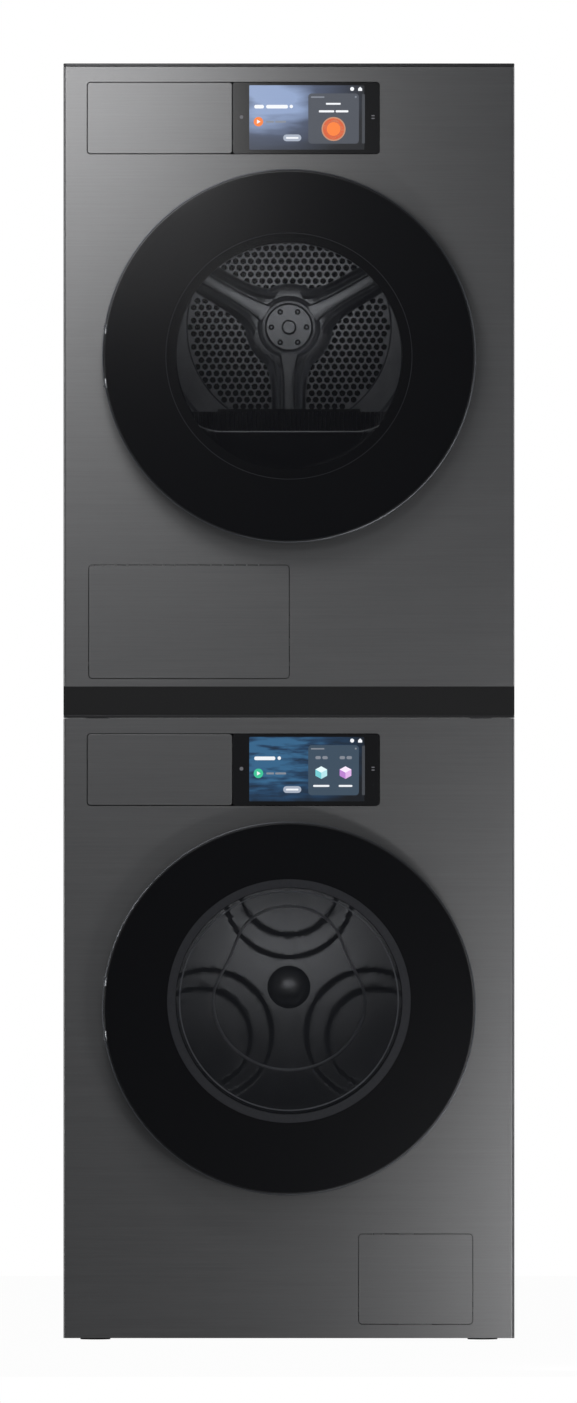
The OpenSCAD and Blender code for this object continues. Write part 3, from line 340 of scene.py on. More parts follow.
def turned(name, outline, centre, paint, closed=True, steps=128):
    """A ring or dish turned about Y: the outline is (radius, y) points, and the centre (x, z)."""
    bpy.ops.mesh.primitive_plane_add(size=0.001, location=(0, 0, 0))
    piece = bpy.context.object
    piece.name = name
    bpy.ops.object.mode_set(mode="EDIT")
    bpy.ops.mesh.select_all(action="SELECT")
    bpy.ops.mesh.delete(type="ONLY_FACE")
    bpy.ops.object.mode_set(mode="OBJECT")
    piece.data.clear_geometry()
    count = len(outline)
    points = [(centre[0] + radius, y, centre[1]) for radius, y in outline]
    edges = [(i, i + 1) for i in range(count - 1)] + ([(count - 1, 0)] if closed else [])
    piece.data.from_pydata(points, edges, [])
    bpy.ops.object.mode_set(mode="EDIT")
    bpy.ops.mesh.select_all(action="SELECT")
    bpy.ops.mesh.spin(
        steps=steps, angle=math.tau, center=(centre[0], 0, centre[1]), axis=(0, 1, 0), dupli=False)
    bpy.ops.object.mode_set(mode="OBJECT")
    reworked(gap=0.00001, outward=True)
    smoothed(32)
    shaped_by(piece, "WEIGHTED_NORMAL", keep_sharp=True)
    painted(piece, paint)
    return piece


def edge_round(x0, y0, x1, y1, corner, steps=4):
    """The corner points of a turned section whose front corners are rounded, as (radius, y)."""
    points = [(x0, y1)]
    for i in range(steps + 1):
        turn = math.radians(90) * i / steps
        points.append((
            x0 + corner - corner * math.cos(turn), y0 + corner - corner * math.sin(turn)))
    for i in range(steps + 1):
        turn = math.radians(90) * i / steps
        points.append((
            x1 - corner + corner * math.sin(turn), y0 + corner - corner * math.cos(turn)))
    points.append((x1, y1))
    return points


print_black = set_shader(coating(
    "ceramic_black_print", (0.0008, 0.0009, 0.0020), 0.0, 0.70, (300, 300, 300), 0.10, 0.0),
    Specular_IOR_Level=0.05)
for machine, window_node, window_r in (
        ("washer", "washer_door_bowl", 0.1626), ("dryer", "dryer_door_window", 0.1641)):
    low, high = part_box(machine + "_door_rim")
    centre = ((low[0] + high[0]) / 2, (low[2] + high[2]) / 2)
    rim_r = (high[0] - low[0]) / 2
    glass_low, glass_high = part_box(machine + "_door_glass")
    glass_r = (glass_high[0] - glass_low[0]) / 2
    rim = turned(
        machine + "_silver_rim",
        edge_round(glass_r + 0.0003, low[1], rim_r, high[1], 0.0009), centre, rim_metal)
    fitted(rim, machine + "_door", "rim_chrome", machine + "_door_rim")
    outer_edge = edge_round(0.0010, glass_low[1], glass_r, glass_high[1], 0.0008)[6:]
    pane = turned(
        machine + "_door_pane", [(0, glass_high[1]), (0, glass_low[1])] + outer_edge, centre,
        door_tint, closed=False)
    fitted(pane, machine + "_door", "door_glass", machine + "_door_glass")
    painted(frame["nodes"][machine + "_door_frame"], frame_black)
    print_r = glass_r - 0.0015
    print_front, print_back = glass_high[1] + 0.00008, glass_high[1] + 0.00020
    print_ring = turned(machine + "_printed_ring", [
        (window_r, print_front), (print_r, print_front), (print_r, print_back),
        (window_r, print_back)], centre, print_black)
    hole_low, hole_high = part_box(window_node)
    rise = (hole_low[2] + hole_high[2]) / 2 - centre[1]
    for vertex in print_ring.data.vertices:
        if math.hypot(vertex.co.x - centre[0], vertex.co.z - centre[1]) < window_r + 0.001:
            vertex.co.z += rise
    fitted(print_ring, machine + "_door", "black_trim")

# ---- Washer window: ring, glass bowl, gasket ----
# The bowl is pressed glass: a stepped flange, then a cone that narrows to an egg-shaped nose
# set low. Behind it a folded rubber gasket joins the panel to the tub.
bowl_glass = set_shader(coating(
    "pressed_bowl_glass", (0.10, 0.11, 0.13), 0.0, 0.10, (8, 8, 8), 0.10, 0.05, 0.03),
    Alpha=0.22, IOR=glass_index)
gasket_rubber = coating(
    "grey_gasket_rubber", (0.055, 0.056, 0.060), 0.0, 0.50, (150, 150, 150), 0.15, 0.10)
ring_grey = coating("window_ring_grey", (0.23, 0.235, 0.26), 0.0, 0.40, (200, 200, 200), 0.08, 0.04)
bowl_low, bowl_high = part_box("washer_door_bowl")
bowl_r = (bowl_high[0] - bowl_low[0]) / 2
bowl_centre = (0.0, (bowl_low[2] + bowl_high[2]) / 2)
glass_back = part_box("washer_door_glass")[1][1]
band_inner, band_outer = bowl_r + 0.0003, bowl_r + 0.0112
band = turned(
    "washer_window_band",
    edge_round(band_inner, glass_back + 0.0001, band_outer, glass_back + 0.0068, 0.0002),
    bowl_centre, ring_grey)
fitted(band, "washer_door", "black_trim")


def egg(turn):
    """The nose's outline round the bowl's centre: wide and low, drawn in towards the top."""
    across, up = math.cos(turn), math.sin(turn)
    drop = 0.127 if up > 0 else 0.095
    pull = 0.13 * math.sin(math.pi * max(up, 0)) ** 2
    return across * 0.103 * (1 - pull), up * drop


def from_faces(name, points, faces):
    """A new piece from its points and faces."""
    mesh = bpy.data.meshes.new(name)
    mesh.from_pydata(points, [], faces)
    return put_in(name, mesh)


def bowl_shape(name, sections, steps):
    """A shell lofted through sections of (y, flange radius, share of the egg from 0 to 1)."""
    points, faces = [], []
    for y, radius, share in sections:
        for i in range(steps):
            turn = math.tau * i / steps
            nose_x, nose_z = egg(turn)
            x = radius * math.cos(turn) * (1 - share) + nose_x * share
            z = radius * math.sin(turn) * (1 - share) + nose_z * share
            points.append((bowl_centre[0] + x, y, bowl_centre[1] + z))
    for ring in range(len(sections) - 1):
        for i in range(steps):
            a, b = ring * steps + i, ring * steps + (i + 1) % steps
            faces.append((a, b, b + steps, a + steps))
    last = (len(sections) - 1) * steps
    faces.append(tuple(range(last, last + steps)))
    return from_faces(name, points, faces)


flange_y, nose_y = bowl_low[1], bowl_high[1]
bowl = bowl_shape("washer_glass_bowl", [
    (flange_y + 0.0010, bowl_r - 0.0005, 0), (flange_y + 0.0010, bowl_r - 0.0050, 0),
    (flange_y + 0.0035, bowl_r - 0.0058, 0), (flange_y + 0.0035, bowl_r - 0.0095, 0),
    (flange_y + 0.0090, bowl_r - 0.0110, 0), (flange_y + 0.0300, bowl_r - 0.0165, 0.06),
    (flange_y + 0.0550, bowl_r - 0.0210, 0.35), (flange_y + 0.0800, bowl_r - 0.0240, 0.72),
    (nose_y - 0.0160, bowl_r - 0.0250, 0.93), (nose_y - 0.0080, bowl_r - 0.0250, 1.0),
    (nose_y - 0.0045, 0.108, 0.97)], 120)
reworked(outward=True)
shaped_by(bowl, "SOLIDIFY", thickness=0.0035, offset=-1)
smoothed(35)
painted(bowl, bowl_glass)
fitted(bowl, "washer_door", "bowl_glass", "washer_door_bowl")
gasket = put_in("gasket_bellows", frame["nodes"]["door_gasket"].data.copy())
reworked(gap=weld_gap)
smoothed(40)
painted(gasket, gasket_rubber)
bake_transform(gasket)
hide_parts("door_gasket")


def bead(name, path, y, radius, paint, cyclic):
    """A round bead along a path of (x, z) points at one depth."""
    curve = bpy.data.curves.new(name, "CURVE")
    curve.dimensions = "3D"
    curve.bevel_depth = radius
    curve.bevel_resolution = 3
    curve.use_fill_caps = not cyclic
    run = curve.splines.new("POLY")
    run.points.add(len(path) - 1)
    run.use_cyclic_u = cyclic
    for point, (x, z) in zip(run.points, path):
        point.co = (x, y, z, 1)
    put_in(name, curve)
    bpy.ops.object.convert(target="MESH")
    piece = bpy.context.object
    smoothed(50)
    painted(piece, paint)
    return piece


# Painted highlight: a pale, nearly opaque glass that stands for the light caught along the bowl's
# thick glass edges.
painted_highlight_glass = set_shader(coating(
    "glass_edge_painted_highlight", (0.70, 0.72, 0.78), 0.0, 0.18, (20, 20, 20), 0.10, 0.05), Alpha=0.60)
nose_points, nose_inset = 96, 0.985
nose_path = []
for i in range(nose_points):
    nose_x, nose_z = egg(math.tau * i / nose_points)
    nose_path.append((bowl_centre[0] + nose_x * nose_inset, bowl_centre[1] + nose_z * nose_inset))
# The bead round the nose is painted highlight in that pale glass, set where the nose's edge catches
# light.
nose_edge = bead("washer_bowl_nose_highlight_bead", nose_path, nose_y - 0.0070, 0.0021, painted_highlight_glass, True)
fitted(nose_edge, "washer_door", "bowl_glass")
# The thin ring on the flange is painted highlight too, in the same pale glass.
flange_ring = turned("washer_bowl_flange_highlight_ring", [
    (bowl_r - 0.0062, flange_y + 0.0002), (bowl_r - 0.0044, flange_y + 0.0002),
    (bowl_r - 0.0044, flange_y + 0.0008), (bowl_r - 0.0062, flange_y + 0.0008)],
    bowl_centre, painted_highlight_glass)
fitted(flange_ring, "washer_door", "bowl_glass")

# ---- Dryer window: shallow glass cup and the throat's lip ----
# The dryer's inner glass is a plain shallow cup. Behind it the black throat has a flat floor,
# edged with a thin bright lip that turns up at both ends, over the lint filter's slot.
cup_glass = set_shader(coating(
    "clear_cup_glass", (0.04, 0.042, 0.05), 0.0, 0.08, (8, 8, 8), 0.05, 0.02, 0.02),
    Alpha=0.10, IOR=glass_index)
cup_low, cup_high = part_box("dryer_door_window")
cup_r = (cup_high[0] - cup_low[0]) / 2
cup_centre = (0.0, (cup_low[2] + cup_high[2]) / 2)
cup_wall = 0.0035
cup_nose_r = cup_r - 0.0107
cup = turned("dryer_glass_cup", [
    (0, cup_high[1] - cup_wall), (cup_nose_r - 0.010, cup_high[1] - cup_wall),
    (cup_nose_r - 0.005, cup_high[1] - 0.0075), (cup_r - cup_wall, cup_low[1] + 0.001),
    (cup_r, cup_low[1]), (cup_nose_r, cup_high[1] - 0.006), (cup_nose_r - 0.006, cup_high[1]),
    (0, cup_high[1])], cup_centre, cup_glass, closed=False)
fitted(cup, "dryer_door", "bowl_glass", "dryer_door_window")
throat_black = coating(
    "throat_black_plastic", (0.012, 0.012, 0.014), 0.0, 0.40, (350, 350, 350), 0.15, 0.08)
lip_metal = coating("satin_lip_metal", (0.85, 0.87, 0.90), 0.3, 0.30, (90, 90, 90), 0.08, 0.03)
lip_z = 1.2092
lip_y = -0.2720
lip_flat, lip_turn, lip_rise, lip_steps = 0.088, 0.046, 0.0175, 12
lip_path = []
for side in (-1, 1):
    reach = []
    for i in range(lip_steps + 1):
        along = i / lip_steps
        reach.append((side * (lip_flat + lip_turn * along), lip_z + lip_rise * along ** 2.2))
    lip_path += reach[::-1] if side < 0 else reach
lip = bead("throat_lip", lip_path, lip_y, 0.0009, lip_metal, False)
fitted(lip, body_of["dryer_bulkhead"], "steel_parts")
dryer_glass_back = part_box("dryer_door_glass")[1][1]
line_inner, line_outer = 0.1632, 0.1639
line_front, line_back = dryer_glass_back + 0.0004, dryer_glass_back + 0.0012
window_line = turned("dryer_window_line", [
    (line_inner, line_front), (line_outer, line_front),
    (line_outer, line_back), (line_inner, line_back)], cup_centre, ring_grey)
fitted(window_line, "dryer_door", "black_trim")
painted(frame["nodes"]["dryer_bulkhead"], throat_black)
painted(frame["nodes"]["lint_filter"], throat_black)

# ---- Perforated sheet for both drums ----
# Drum steel is punched in a staggered pattern. Each cell is a hexagon of sheet round one hole,
# and the cells meet edge to edge. Blank cells make the plain land between the punched fields.


def punched_sheet(name, cells, pitch, hole_r, bend=None, sides=6):
    """Sheet made of hexagon cells, (x, y, punched), bent to shape by a function of (x, y)."""
    points, faces = [], []
    outer_r = pitch / math.sqrt(3)
    for x, y, punched in cells:
        start = len(points)
        ring = [math.radians(30 + 60 * i) for i in range(6)]
        points += [(x + outer_r * math.cos(a), y + outer_r * math.sin(a)) for a in ring]
        if not punched:
            faces.append(tuple(range(start, start + 6)))
            continue
        if sides == 6:
            points += [(x + hole_r * math.cos(a), y + hole_r * math.sin(a)) for a in ring]
            for i in range(6):
                j = (i + 1) % 6
                faces.append((start + i, start + j, start + 6 + j, start + 6 + i))
            continue
        edge = [math.radians(30 + 30 * i) for i in range(12)]
        points += [(x + hole_r * math.cos(a), y + hole_r * math.sin(a)) for a in edge]
        for i in range(6):
            j = (i + 1) % 6
            first, middle, last = start + 6 + 2 * i, start + 7 + 2 * i, start + 6 + (2 * i + 2) % 12
            faces.append((start + i, start + j, last, middle, first))
    shape = bend or (lambda u, v: (u, 0, v))
    piece = from_faces(name, [shape(u, v) for u, v in points], faces)
    reworked(gap=0.00005, outward=True)
    return piece


def thickened(piece, thickness, offset=0):
    """Gives a sheet its gauge."""
    single_out(piece)
    shaped_by(piece, "SOLIDIFY", thickness=thickness, offset=offset)
    smoothed(28)


# ---- Dryer drum back: punched fields, ribbed spokes, hub ----
# The back is pressed steel with a round hub plate held by six screws. Three double-ribbed
# spokes run out from a rounded triangle, and the fields between them are punched for hot air.
drum_steel = coating("drum_stainless", (0.30, 0.31, 0.33), 0.9, 0.34, (50, 50, 50), 0.10, 0.05)
duct_black = coating("duct_black", (0.010, 0.010, 0.011), 0.0, 0.6, (90, 90, 90))
back_low, back_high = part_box("dryer_drum_back")
hub_x, hub_z = (back_low[0] + back_high[0]) / 2, (back_low[2] + back_high[2]) / 2
back_r = (back_high[0] - back_low[0]) / 2
plate_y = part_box("dryer_drum")[1][1] - 0.0014
field_inner, field_outer = 0.057, 0.137
spoke_half = 0.0225
hole_pitch, field_hole_r = 0.0103, 0.0041
spoke_turns = [math.radians(a) for a in (270, 30, 150)]


def punched_here(x, z):
    """Whether a cell lies in a field: between the two rings and clear of the spokes."""
    reach = math.hypot(x, z)
    if not field_inner < reach < field_outer - 0.002:
        return False
    for turn in spoke_turns:
        along = x * math.cos(turn) + z * math.sin(turn)
        aside = abs(-x * math.sin(turn) + z * math.cos(turn))
        if along > 0 and aside < spoke_half:
            return False
    return True


cells = []
row_step = hole_pitch * math.sqrt(3) / 2
rows = int((field_outer + 0.012) / row_step) + 1
for row in range(-rows, rows + 1):
    shift = hole_pitch / 2 if row % 2 else 0
    for column in range(-rows, rows + 1):
        x, z = column * hole_pitch + shift, row * row_step
        if math.hypot(x, z) < field_outer + 0.008:
            cells.append((x, z, punched_here(x, z)))
fields = punched_sheet(
    "dryer_back_fields", cells, hole_pitch, field_hole_r,
    lambda u, v: (hub_x + u, plate_y, hub_z + v), 12)
thickened(fields, 0.0010)
painted(fields, drum_steel)
fitted(fields, "dry_drum", "drum_steel", "dryer_drum_back")

land = turned("dryer_back_land", [
    (field_outer, plate_y - 0.0006), (field_outer + 0.002, plate_y - 0.0022),
    (field_outer + 0.030, plate_y - 0.0022), (field_outer + 0.034, plate_y - 0.0060),
    (back_r - 0.020, plate_y - 0.0060), (back_r - 0.012, plate_y - 0.0010),
    (back_r, plate_y - 0.0010), (back_r, plate_y + 0.0005), (field_outer, plate_y + 0.0005)],
    (hub_x, hub_z), drum_steel)
fitted(land, "dry_drum", "drum_steel")
duct_inner, duct_outer = 0.012, 0.245
duct_front, duct_back = plate_y + 0.012, plate_y + 0.0135
duct = turned("dryer_back_duct", [
    (duct_inner, duct_front), (duct_outer, duct_front), (duct_outer, duct_back),
    (duct_inner, duct_back)], (hub_x, hub_z), duct_black)
fitted(duct, body_of["dryer_cabinet"], "black_plastic")


def spoke_pressing(name, turn, ribs, reach, top):
    """One spoke: a raised bar with rounded ribs along it, from the hub out to the land."""
    along_points = 24
    points, faces = [], []
    for step in range(along_points + 1):
        out = reach[0] + (reach[1] - reach[0]) * step / along_points
        spread = 1 + 0.9 * math.exp(-(out - reach[0]) / 0.016)
        for place, height in ribs:
            aside = place * spread
            x = hub_x + out * math.cos(turn) - aside * math.sin(turn)
            z = hub_z + out * math.sin(turn) + aside * math.cos(turn)
            points.append((x, plate_y - 0.0004 - height * top, z))
    width = len(ribs)
    for step in range(along_points):
        for i in range(width - 1):
            a = step * width + i
            faces.append((a, a + 1, a + width + 1, a + width))
    piece = from_faces(name, points, faces)
    reworked(outward=True)
    thickened(piece, 0.0008)
    return piece


double_rib = [(-0.0230, 0), (-0.0205, 0.10), (-0.0175, 0.55), (-0.0150, 0.70), (-0.0125, 0.55),
              (-0.0100, 0.20), (-0.0080, 0.25), (-0.0060, 0.95), (-0.0040, 1.0), (0.0040, 1.0),
              (0.0060, 0.95), (0.0080, 0.25), (0.0100, 0.20), (0.0125, 0.55), (0.0150, 0.70),
              (0.0175, 0.55), (0.0205, 0.10), (0.0230, 0)]
for number, turn in enumerate(spoke_turns):
    spoke = spoke_pressing(
        "dryer_back_spoke_%d" % (number + 1), turn, double_rib, (0.036, 0.139), 0.0065)
    painted(spoke, drum_steel)
    fitted(spoke, "dry_drum", "drum_steel")

hub_front = back_low[1]
hub = turned("dryer_hub", [
    (0, hub_front + 0.0002), (0.0078, hub_front + 0.0002), (0.0088, hub_front + 0.0012),
    (0.0095, hub_front + 0.0032), (0.0110, hub_front + 0.0036), (0.0300, hub_front + 0.0036),
    (0.0320, hub_front + 0.0050), (0.0325, hub_front + 0.0075), (0.0355, hub_front + 0.0078),
    (0.0362, hub_front + 0.0030), (0.0385, hub_front + 0.0022), (0.0405, hub_front + 0.0030),
    (0.0425, hub_front + 0.0045), (0.0540, hub_front + 0.0050), (0.0590, plate_y - 0.0012),
    (0.0590, plate_y + 0.0005), (0, plate_y + 0.0005)], (hub_x, hub_z), drum_steel, closed=False)
fitted(hub, "dry_drum", "drum_steel")
screw_steel = coating("screw_steel", (0.05, 0.05, 0.055), 1.0, 0.35, (200, 200, 200))
shaft = turned("dryer_back_shaft", [
    (0, plate_y), (0.0099, plate_y), (0.0099, back_high[1] - 0.0008), (0.0091, back_high[1]),
    (0, back_high[1])], (hub_x, hub_z), steel_bits, closed=False, steps=48)
fitted(shaft, "dry_drum", "steel_parts")
for number in range(6):
    turn = math.radians(60 * number)
    place = (hub_x + 0.0237 * math.cos(turn), hub_z + 0.0237 * math.sin(turn))
    screw = turned("dryer_hub_screw_%d" % (number + 1), [
        (0.0012, hub_front + 0.0032), (0.0016, hub_front + 0.0016), (0.0030, hub_front + 0.0016),
        (0.0038, hub_front + 0.0026), (0.0040, hub_front + 0.0040), (0.0012, hub_front + 0.0040)],
        place, screw_steel, steps=20)
    fitted(screw, "dry_drum", "steel_parts")

# ---- Washer drum: punched wall, rolled front, pressed back ----
# The drum is stainless sheet with punched holes all round, seamed to a front ring with a rolled
# mouth. Its back is pressed into three round steps that leave three bars and a domed hub.
drum_low, drum_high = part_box("washer_drum")
drum_x, drum_z = (drum_low[0] + drum_high[0]) / 2, (drum_low[2] + drum_high[2]) / 2
drum_r = (drum_high[0] - drum_low[0]) / 2
wall_r = drum_r - 0.0008
round_holes = 95
wall_pitch = math.tau * wall_r / round_holes
wall_step = wall_pitch * math.sqrt(3) / 2
wall_rows = int((drum_high[1] - drum_low[1] - 0.012) / wall_step)
wall_cells = []
for row in range(wall_rows + 1):
    shift = wall_pitch / 2 if row % 2 else 0
    for column in range(round_holes):
        wall_cells.append((column * wall_pitch + shift, row * wall_step, 1 < row < wall_rows - 1))


def round_the_drum(u, v):
    """Bends the flat wall sheet round the drum's axis."""
    turn = u / wall_r
    x, z = drum_x + wall_r * math.cos(turn), drum_z + wall_r * math.sin(turn)
    return x, drum_low[1] + 0.006 + v, z


wash_steel = coating(
    "wash_drum_stainless", (0.34, 0.35, 0.37), 0.85, 0.36, (60, 60, 60), 0.08, 0.04)
punched_wall = punched_sheet("wash_drum_wall", wall_cells, wall_pitch, 0.0021, round_the_drum)
thickened(punched_wall, 0.0008)
painted(punched_wall, wash_steel)
fitted(punched_wall, "wash_drum", "drum_steel", "washer_drum")
mouth_low = 0.160
front_hoop = turned("wash_drum_front", [
    (mouth_low, drum_low[1] + 0.0065), (mouth_low - 0.0004, drum_low[1] + 0.0025),
    (mouth_low + 0.0015, drum_low[1] + 0.0004), (mouth_low + 0.0060, drum_low[1] + 0.0002),
    (mouth_low + 0.0100, drum_low[1] + 0.0040), (drum_r - 0.020, drum_low[1] + 0.0040),
    (drum_r - 0.012, drum_low[1] + 0.0006), (drum_r - 0.0030, drum_low[1] + 0.0008),
    (drum_r - 0.0002, drum_low[1] + 0.0040), (drum_r - 0.0002, drum_low[1] + 0.0160),
    (drum_r - 0.0014, drum_low[1] + 0.0160), (drum_r - 0.0016, drum_low[1] + 0.0060),
    (drum_r - 0.012, drum_low[1] + 0.0020), (drum_r - 0.022, drum_low[1] + 0.0055),
    (mouth_low + 0.0090, drum_low[1] + 0.0055)], (drum_x, drum_z), wash_steel)
fitted(front_hoop, "wash_drum", "drum_steel")

back_face = drum_high[1] - 0.0016
bar_height, hub_height, dome_r = 0.0150, 0.0140, 0.0275
lobe_turns = [math.radians(a) for a in (90, 210, 330)]
# Each step of a lobe: how far out its centre is, its depth, and where its wall starts and ends.
lobe_steps = ((0.1270, 0.0080, 0.0835, 0.0900), (0.1370, 0.0060, 0.0640, 0.0700))


def ramp_between(value, start, end):
    """A smooth step from 0 to 1."""
    share = min(max((value - start) / (end - start), 0), 1)
    return share * share * (3 - 2 * share)


def back_depth(x, z):
    """How far the pressing stands before the flat back: bars and hub high, lobes stepped down."""
    reach = math.hypot(x, z)
    height = bar_height
    for turn in lobe_turns:
        for out, step, start, end in lobe_steps:
            away = math.hypot(x - out * math.cos(turn), z - out * math.sin(turn))
            height -= step * (1 - ramp_between(away, start, end))
    height += hub_height * math.sqrt(max(1 - (reach / dome_r) ** 2, 0))
    return height * (1 - ramp_between(reach, 0.2050, 0.2200)) + 0.0006


pressing_rings, pressing_steps = 84, 216
points, faces = [(drum_x, back_face - back_depth(0, 0), drum_z)], []
for ring in range(1, pressing_rings + 1):
    reach = (drum_r - 0.0018) * ring / pressing_rings
    for i in range(pressing_steps):
        turn = math.tau * i / pressing_steps
        x, z = reach * math.cos(turn), reach * math.sin(turn)
        points.append((drum_x + x, back_face - back_depth(x, z), drum_z + z))
for i in range(pressing_steps):
    j = (i + 1) % pressing_steps
    faces.append((0, 1 + i, 1 + j))
    for ring in range(pressing_rings - 1):
        a, b = 1 + ring * pressing_steps + i, 1 + ring * pressing_steps + j
        faces.append((a, a + pressing_steps, b + pressing_steps, b))
pressing = from_faces("wash_drum_back", points, faces)
reworked(outward=True)
thickened(pressing, 0.0009)
painted(pressing, wash_steel)
fitted(pressing, "wash_drum", "drum_steel")
paddle_grey = coating(
    "paddle_grey_plastic", (0.16, 0.165, 0.175), 0.0, 0.42, (180, 180, 180), 0.08, 0.05)
edge_broken("drum_paddles", "wash_paddles", paddle_grey, 0.0030, 3)
edge_broken("dryer_paddles", "dry_paddles", paddle_grey, 0.0030, 3)
painted(frame["nodes"]["dryer_drum"], drum_steel)

# ---- Lint filter's mesh and the throat's grille ----
# The filter's fine black mesh is stretched over its moulded frame and lifts out with it. Before
# it a low ribbed grille is moulded across the throat, just behind the bright lip.
filter_low, filter_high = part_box("lint_filter")
plate_gauge = 0.0006


def outline_plate(name, outline, y, thickness, paint):
    """A thin flat plate facing the front, from its outline as (x, z) points."""
    piece = from_faces(name, [(x, y, z) for x, z in outline], [tuple(range(len(outline)))])
    reworked(deepen=thickness, outward=True)
    painted(piece, paint)
    return piece


def rounded_box(x0, z0, x1, z1, corner, steps=5):
    """A rectangle's outline with rounded corners."""
    outline = []
    for cx, cz, start in ((x1 - corner, z1 - corner, 0), (x0 + corner, z1 - corner, 90),
                          (x0 + corner, z0 + corner, 180), (x1 - corner, z0 + corner, 270)):
        for i in range(steps + 1):
            turn = math.radians(start + 90 * i / steps)
            outline.append((cx + corner * math.cos(turn), cz + corner * math.sin(turn)))
    return outline


lint_mesh = outline_plate("lint_filter_mesh", rounded_box(
    filter_low[0] + 0.006, filter_low[2] + 0.006, filter_high[0] - 0.006, filter_high[2] - 0.010,
    0.004), (filter_low[1] + filter_high[1]) / 2, plate_gauge, throat_black)
fitted(lint_mesh, "lint_screen", "black_plastic")
grille_y = filter_low[1] - 0.004
grille_low, grille_top = lip_z + 0.0006, lip_z + 0.0270
grille_half, grille_flat, grille_corner = 0.1330, 0.092, (0.006, 0.010)
low_corner = (grille_half - grille_corner[0], grille_low + grille_corner[1])
grille = outline_plate("throat_grille", [
    (-low_corner[0], low_corner[1]), (-grille_flat, grille_low), (grille_flat, grille_low),
    low_corner, (grille_half, grille_top), (-grille_half, grille_top)],
    grille_y, plate_gauge, throat_black)
fitted(grille, body_of["dryer_bulkhead"], "black_plastic")
rib_grey = coating("grille_rib_grey", (0.10, 0.10, 0.11), 0.0, 0.35, (350, 350, 350), 0.15, 0.05)
# Each rib is a small three-sided bar: four points on the plate and two along its front edge.
rib_count, rib_span, rib_half, rib_out, rib_slope = 44, 0.126, 0.0007, 0.0034, 0.30
rib_back, rib_front = grille_y - plate_gauge, grille_y - rib_out
rib_points, rib_faces = [], []
for i in range(rib_count):
    x = -rib_span + 2 * rib_span * i / (rib_count - 1)
    foot = grille_low + max(abs(x) - grille_flat, 0) * rib_slope
    start = len(rib_points)
    rib_points += [
        (x - rib_half, rib_back, foot), (x + rib_half, rib_back, foot),
        (x + rib_half, rib_back, grille_top), (x - rib_half, rib_back, grille_top),
        (x, rib_front, foot + 0.001), (x, rib_front, grille_top - 0.001)]
    for face in ((0, 4, 5, 3), (1, 2, 5, 4), (0, 1, 4), (3, 5, 2), (0, 3, 2, 1)):
        rib_faces.append(tuple(start + corner for corner in face))
ribs = from_faces("throat_grille_ribs", rib_points, rib_faces)
painted(ribs, rib_grey)
fitted(ribs, body_of["dryer_bulkhead"], "black_plastic")

# ---- Touch displays ----
# Each display is one black glass over a lit panel. Its picture is soft colour with a start disc,
# a card and plain bars where a real machine writes words.
display_black = coating(
    "display_black_glass", (0.004, 0.004, 0.005), 0.0, 0.16, (5, 5, 5), 0.05, 0.0, 0.02)
panel_left, panel_right, panel_low, panel_top = 0.0218, 0.0199, 0.0054, 0.0038
# Marks lie in layers, and each one a little before the last so that no two share a plane.
layer_step, mark_step, mark_gauge = 0.00008, 0.000002, 0.00006


def lit(name, colour, strength=1.0):
    """A flat lit colour of the panel, with a trace of unevenness as a backlight has."""
    glow = coating(name, [c * 0.2 for c in colour], 0.0, 0.5, (90, 90, 90), 0.05, 0.0)
    return set_shader(glow, Emission_Color=(*colour, 1), Emission_Strength=strength)


def picture(name, start, size, dark, middle, bright, ripple):
    """The panel's moving picture: a glow in one corner, crossed by streaks or by water ripples."""
    paint, shader = blank(name)
    set_shader(paint, Base_Color=(0.01, 0.01, 0.012, 1), Roughness=0.3, Emission_Strength=1.0)
    where = added(paint, "ShaderNodeTexCoord").outputs["Object"]
    centred = added(paint, "ShaderNodeMapping", {"Vector": where})
    centred.vector_type = "TEXTURE"
    centred.inputs["Location"].default_value = start
    centred.inputs["Scale"].default_value = size
    glow = added(paint, "ShaderNodeTexGradient", {"Vector": centred.outputs[0]})
    glow.gradient_type = "SPHERICAL"
    spread = added(
        paint, "ShaderNodeMapping", {"Vector": where, "Rotation": ripple[0], "Scale": ripple[1]})
    streaks = added(
        paint, "ShaderNodeTexNoise", {"Vector": spread.outputs[0], "Scale": 1.0, "Detail": 3.0})
    wave = added(paint, "ShaderNodeMapRange", {
        "Value": streaks.outputs["Fac"], "From Min": 0.3, "From Max": 0.7,
        "To Min": 1 - ripple[2], "To Max": 1 + ripple[2]})
    both = added(paint, "ShaderNodeMath", {0: glow.outputs["Fac"], 1: wave.outputs["Result"]})
    both.operation = "MULTIPLY"
    tone = added(paint, "ShaderNodeValToRGB", {"Fac": both.outputs[0]})
    tone.color_ramp.elements[0].color = (*dark, 1)
    tone.color_ramp.elements[1].color = (*bright, 1)
    tone.color_ramp.elements[1].position = 0.85
    tone.color_ramp.elements.new(0.45).color = (*middle, 1)
    paint.node_tree.links.new(tone.outputs["Color"], shader.inputs["Emission Color"])
    return paint


def disc_outline(x, z, radius, sides=32, turn=0):
    """A round or many-sided outline."""
    return [(x + radius * math.cos(math.tau * i / sides + turn),
             z + radius * math.sin(math.tau * i / sides + turn)) for i in range(sides)]


